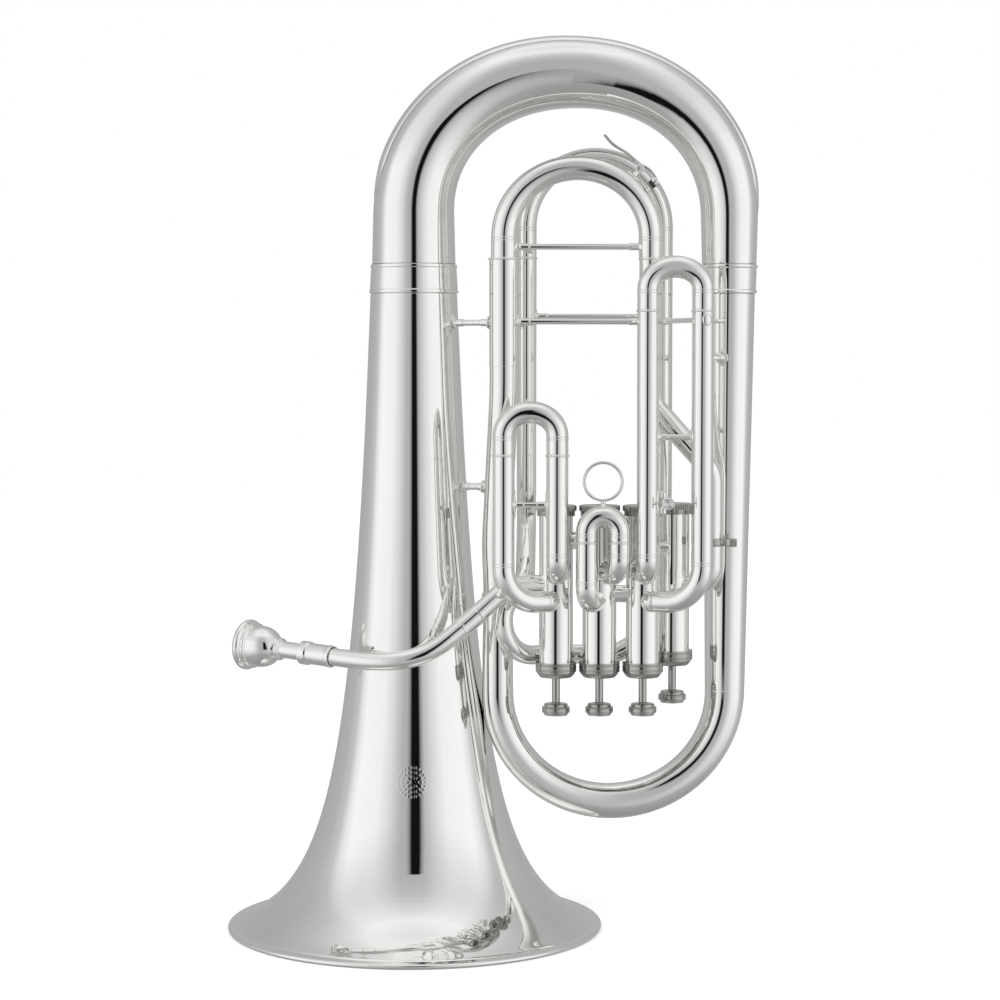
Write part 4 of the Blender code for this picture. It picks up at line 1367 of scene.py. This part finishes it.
def make_wing_clamp():
    """A small clamping screw with a wing on the fourth valve's outlet tube."""
    body = body_of("tail_tube")
    centre, along, radius = surface_near(CLAMP_PLACE)
    base = Vector((centre.x, centre.y, CLAMP_PLACE.z))
    outward = Vector((0.9, -0.43, 0)).normalized()
    bead("wing_clamp_band", base, along, radius, body, 0.8, 6.0, NICKEL)
    steps = ((-0.5, 3.0), (1.6, 3.0), (2.2, 1.6), (4.0, 1.6))
    boss = from_axis([(radius + rise, reach) for rise, reach in steps])
    turned("wing_clamp_boss", base, outward, boss, NICKEL, body, False, 32)
    points = [base + outward * (radius + reach) for reach in (3.2, 6.0, 9.0, 11.5)]
    ribbon("wing_clamp_wing", points, (2.2, 2.6, 2.4, 1.4), 6.2, NICKEL, body)
    stem = from_axis([(0.0, 0.8), (6.2, 0.8)])
    turned("wing_clamp_stem", base + outward * (radius + 4.6), Z_AXIS, stem, NICKEL, body, False, 16)


def dress_cad_nodes():
    """The remaining CAD nodes get their finish."""
    for node, piece in frame["nodes"].items():
        piece.data.materials.clear()
        piece.data.materials.append(look_of(node))


# Studio


# Brightness against the angle from the viewer, at the height of the horizon, in degrees
HORIZON = ((0, 0.44), (13, 0.46), (20, 0.56), (30, 0.73), (46, 0.92), (78, 0.97))
HORIZON += ((88, 0.83), (98, 0.57), (115, 0.46), (150, 0.41), (180, 0.45))
VIEW_TURN = 1.9  # degrees between the line of sight and +Y
# Brightness against the height above the horizon, in degrees, and its share of the whole
OVERHEAD = ((-90, 0.27), (-40, 0.34), (-15, 0.54), (0, 0.66), (28, 0.38), (50, 0.58))
OVERHEAD += ((72, 0.93), (90, 0.78))
SKY_SHARE = ((-90, 1.0), (-45, 0.9), (-18, 0.25), (-8, 0.0), (20, 0.0), (45, 0.5), (80, 1.0))
FILL = 1.15  # brightness of the light that falls on rough surfaces


def stepped(tree, value, stops):
    """Piecewise-linear level of a value between 0 and 1."""
    node = add_node(tree, "ShaderNodeValToRGB", Fac=value)
    ramp = node.color_ramp
    while len(ramp.elements) > 1:
        ramp.elements.remove(ramp.elements[-1])
    for number, (place, level) in enumerate(stops):
        stop = ramp.elements[0] if number == 0 else ramp.elements.new(place)
        stop.position = place
        stop.color = (level, level, level, 1)
    return node.outputs["Color"]


def compute(tree, operation, *values):
    """A sum in the node tree; each value is a number or another node's output."""
    node = add_node(tree, "ShaderNodeMath", operation=operation)
    for socket, value in zip(node.inputs, values):
        if isinstance(value, bpy.types.NodeSocket):
            tree.links.new(value, socket)
        else:
            socket.default_value = value
    return node.outputs[0]


def studio_world():
    """White for the camera; in reflections, bright sides and a darker front and back."""
    world = bpy.data.worlds.new("studio")
    bpy.context.scene.world = world
    world.use_nodes = True
    tree = world.node_tree
    tree.nodes.clear()
    ray = tree.nodes.new("ShaderNodeLightPath")
    where = tree.nodes.new("ShaderNodeTexCoord").outputs["Generated"]
    east, north, up = add_node(tree, "ShaderNodeSeparateXYZ", Vector=where).outputs
    azimuth = compute(tree, "ARCTAN2", east, compute(tree, "MULTIPLY", north, -1.0))
    off_axis = compute(tree, "ABSOLUTE", compute(tree, "ADD", azimuth, math.radians(VIEW_TURN)))
    around = compute(tree, "DIVIDE", off_axis, math.pi)
    elevation = compute(tree, "ARCSINE", up)
    height = compute(tree, "ADD", compute(tree, "DIVIDE", elevation, math.pi), 0.5)
    ring_light = stepped(tree, around, [(angle / 180, level) for angle, level in HORIZON])
    sky_light = stepped(tree, height, [((angle + 90) / 180, level) for angle, level in OVERHEAD])
    share = stepped(tree, height, [((angle + 90) / 180, level) for angle, level in SKY_SHARE])
    reflected = blend(tree, share, ring_light, sky_light)
    plain = blend(tree, ray.outputs["Is Camera Ray"], (FILL, FILL, FILL, 1), (1.0, 1.0, 1.0, 1))
    shown = blend(tree, ray.outputs["Is Glossy Ray"], plain, reflected)
    background = add_node(tree, "ShaderNodeBackground", Color=shown, Strength=1.0)
    add_node(tree, "ShaderNodeOutputWorld", Surface=background.outputs[0])


def make_floor():
    bm = bmesh.new()
    bmesh.ops.create_grid(bm, x_segments=8, y_segments=8, size=6.0)
    mesh = bpy.data.meshes.new("floor")
    bm.to_mesh(mesh)
    bm.free()
    floor = new_object("floor", mesh)
    floor.location.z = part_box("bell")[0].z - 0.0002
    made, _, shader = new_material("pale_floor")
    shader.inputs["Base Color"].default_value = (0.95, 0.95, 0.95, 1)
    shader.inputs["Roughness"].default_value = 0.9
    shader.inputs["Specular IOR Level"].default_value = 0.0
    mesh.materials.append(made)
    floor.visible_glossy = False


# The dark strip in front of the instrument, in metres: its place, its size, how far its top leans
# forward, and how dense it is across and upwards
STRIP_AHEAD = 0.70
STRIP_RIGHT_OF_BELL = 0.038
STRIP_HALF_WIDTH = 0.17
STRIP_HEIGHT = 0.80
STRIP_LEAN = 0.25
STRIP_ACROSS = ((0, 1.0), (0.066, 1.0), (0.078, 0.9), (0.096, 0.6), (0.122, 0.3), (0.17, 0.0))
STRIP_UPWARDS = ((0.03, 0.0), (0.09, 1.0), (0.76, 1.0), (0.80, 0.0))


def strip_material():
    """Black where the strip is dense and clear at its soft edges."""
    made = bpy.data.materials.new("strip_black")
    made.use_nodes = True
    tree = made.node_tree
    tree.nodes.clear()
    where = tree.nodes.new("ShaderNodeTexCoord").outputs["Object"]
    across, _, up = add_node(tree, "ShaderNodeSeparateXYZ", Vector=where).outputs
    across_density = stepped(tree, compute(tree, "ABSOLUTE", across), STRIP_ACROSS)
    density = compute(tree, "MULTIPLY", across_density, stepped(tree, up, STRIP_UPWARDS))
    either = add_node(tree, "ShaderNodeMixShader", Fac=density)
    black = add_node(tree, "ShaderNodeEmission", Color=(0.006, 0.006, 0.006, 1))
    tree.links.new(tree.nodes.new("ShaderNodeBsdfTransparent").outputs[0], either.inputs[1])
    tree.links.new(black.outputs[0], either.inputs[2])
    add_node(tree, "ShaderNodeOutputMaterial", Surface=either.outputs[0])
    return made


def make_strip():
    """A dark strip that stands in front of the instrument and shows only in reflections."""
    mesh = bpy.data.meshes.new("dark_strip")
    foot_corners = [(-STRIP_HALF_WIDTH, 0, 0), (STRIP_HALF_WIDTH, 0, 0)]
    top_corners = [(x, -STRIP_LEAN, STRIP_HEIGHT) for x, _, _ in reversed(foot_corners)]
    mesh.from_pydata(foot_corners + top_corners, [], [(0, 1, 2, 3)])
    mesh.materials.append(strip_material())
    strip = new_object("dark_strip", mesh)
    strip.location = (BELL_X * MM + STRIP_RIGHT_OF_BELL, -STRIP_AHEAD, 0)
    strip.visible_camera = False
    strip.visible_diffuse = False
    strip.visible_shadow = False


def make_light(name, place, target, size, power):
    lamp = bpy.data.lights.new(name, "AREA")
    lamp.shape = "RECTANGLE"
    lamp.size, lamp.size_y = size
    lamp.energy = power
    made = new_object(name, lamp)
    made.location = place
    made.rotation_euler = (target - place).to_track_quat("-Z", "Y").to_euler()
    made.visible_camera = False
    made.visible_glossy = False


# The camera's place from the bell's axis and the floor in metres, its downward tilt and its lens
CAMERA_RIGHT_OF_BELL = 0.0639
CAMERA_AHEAD = 1.857
CAMERA_HEIGHT = 0.4233
CAMERA_TILT = 3.18
SENSOR_WIDTH = 36.0
FOCAL_LENGTH = 89.84


def make_camera():
    lens = bpy.data.cameras.new("camera")
    lens.sensor_width = SENSOR_WIDTH
    lens.lens = FOCAL_LENGTH
    made = new_object("camera", lens)
    made.location = (BELL_X * MM + CAMERA_RIGHT_OF_BELL, -CAMERA_AHEAD, CAMERA_HEIGHT)
    made.rotation_euler = (math.radians(90 - CAMERA_TILT), 0, 0)
    bpy.context.scene.camera = made


def make_studio():
    scene = bpy.context.scene
    scene.view_settings.view_transform = "Standard"
    studio_world()
    make_floor()
    make_strip()
    middle = (cad_low + cad_high) / 2
    make_light("left_soft_box", middle + Vector((-1.2, -1.0, 0.9)), middle, (1.0, 1.4), 8.0)
    make_light("right_soft_box", middle + Vector((1.2, -1.0, 0.9)), middle, (1.0, 1.4), 8.0)
    make_camera()


dress_cad_nodes()
make_tubes()
make_solder_rings()
make_sleeve_rims()
make_fused_rods()
make_bell()
make_turned_parts()
for valve in VALVES:
    make_finger_cap(valve)
    make_spring_cap(valve)
    make_button(valve)
    make_spring(valve)
make_casing_links()
make_brace_feet()
make_pull_ring()
make_water_key()
make_bow_guard()
make_mouthpiece()
make_rosette()
make_lyre_holder()
make_lyre_screw()
make_leadpipe_sleeve()
make_wing_clamp()
make_studio()
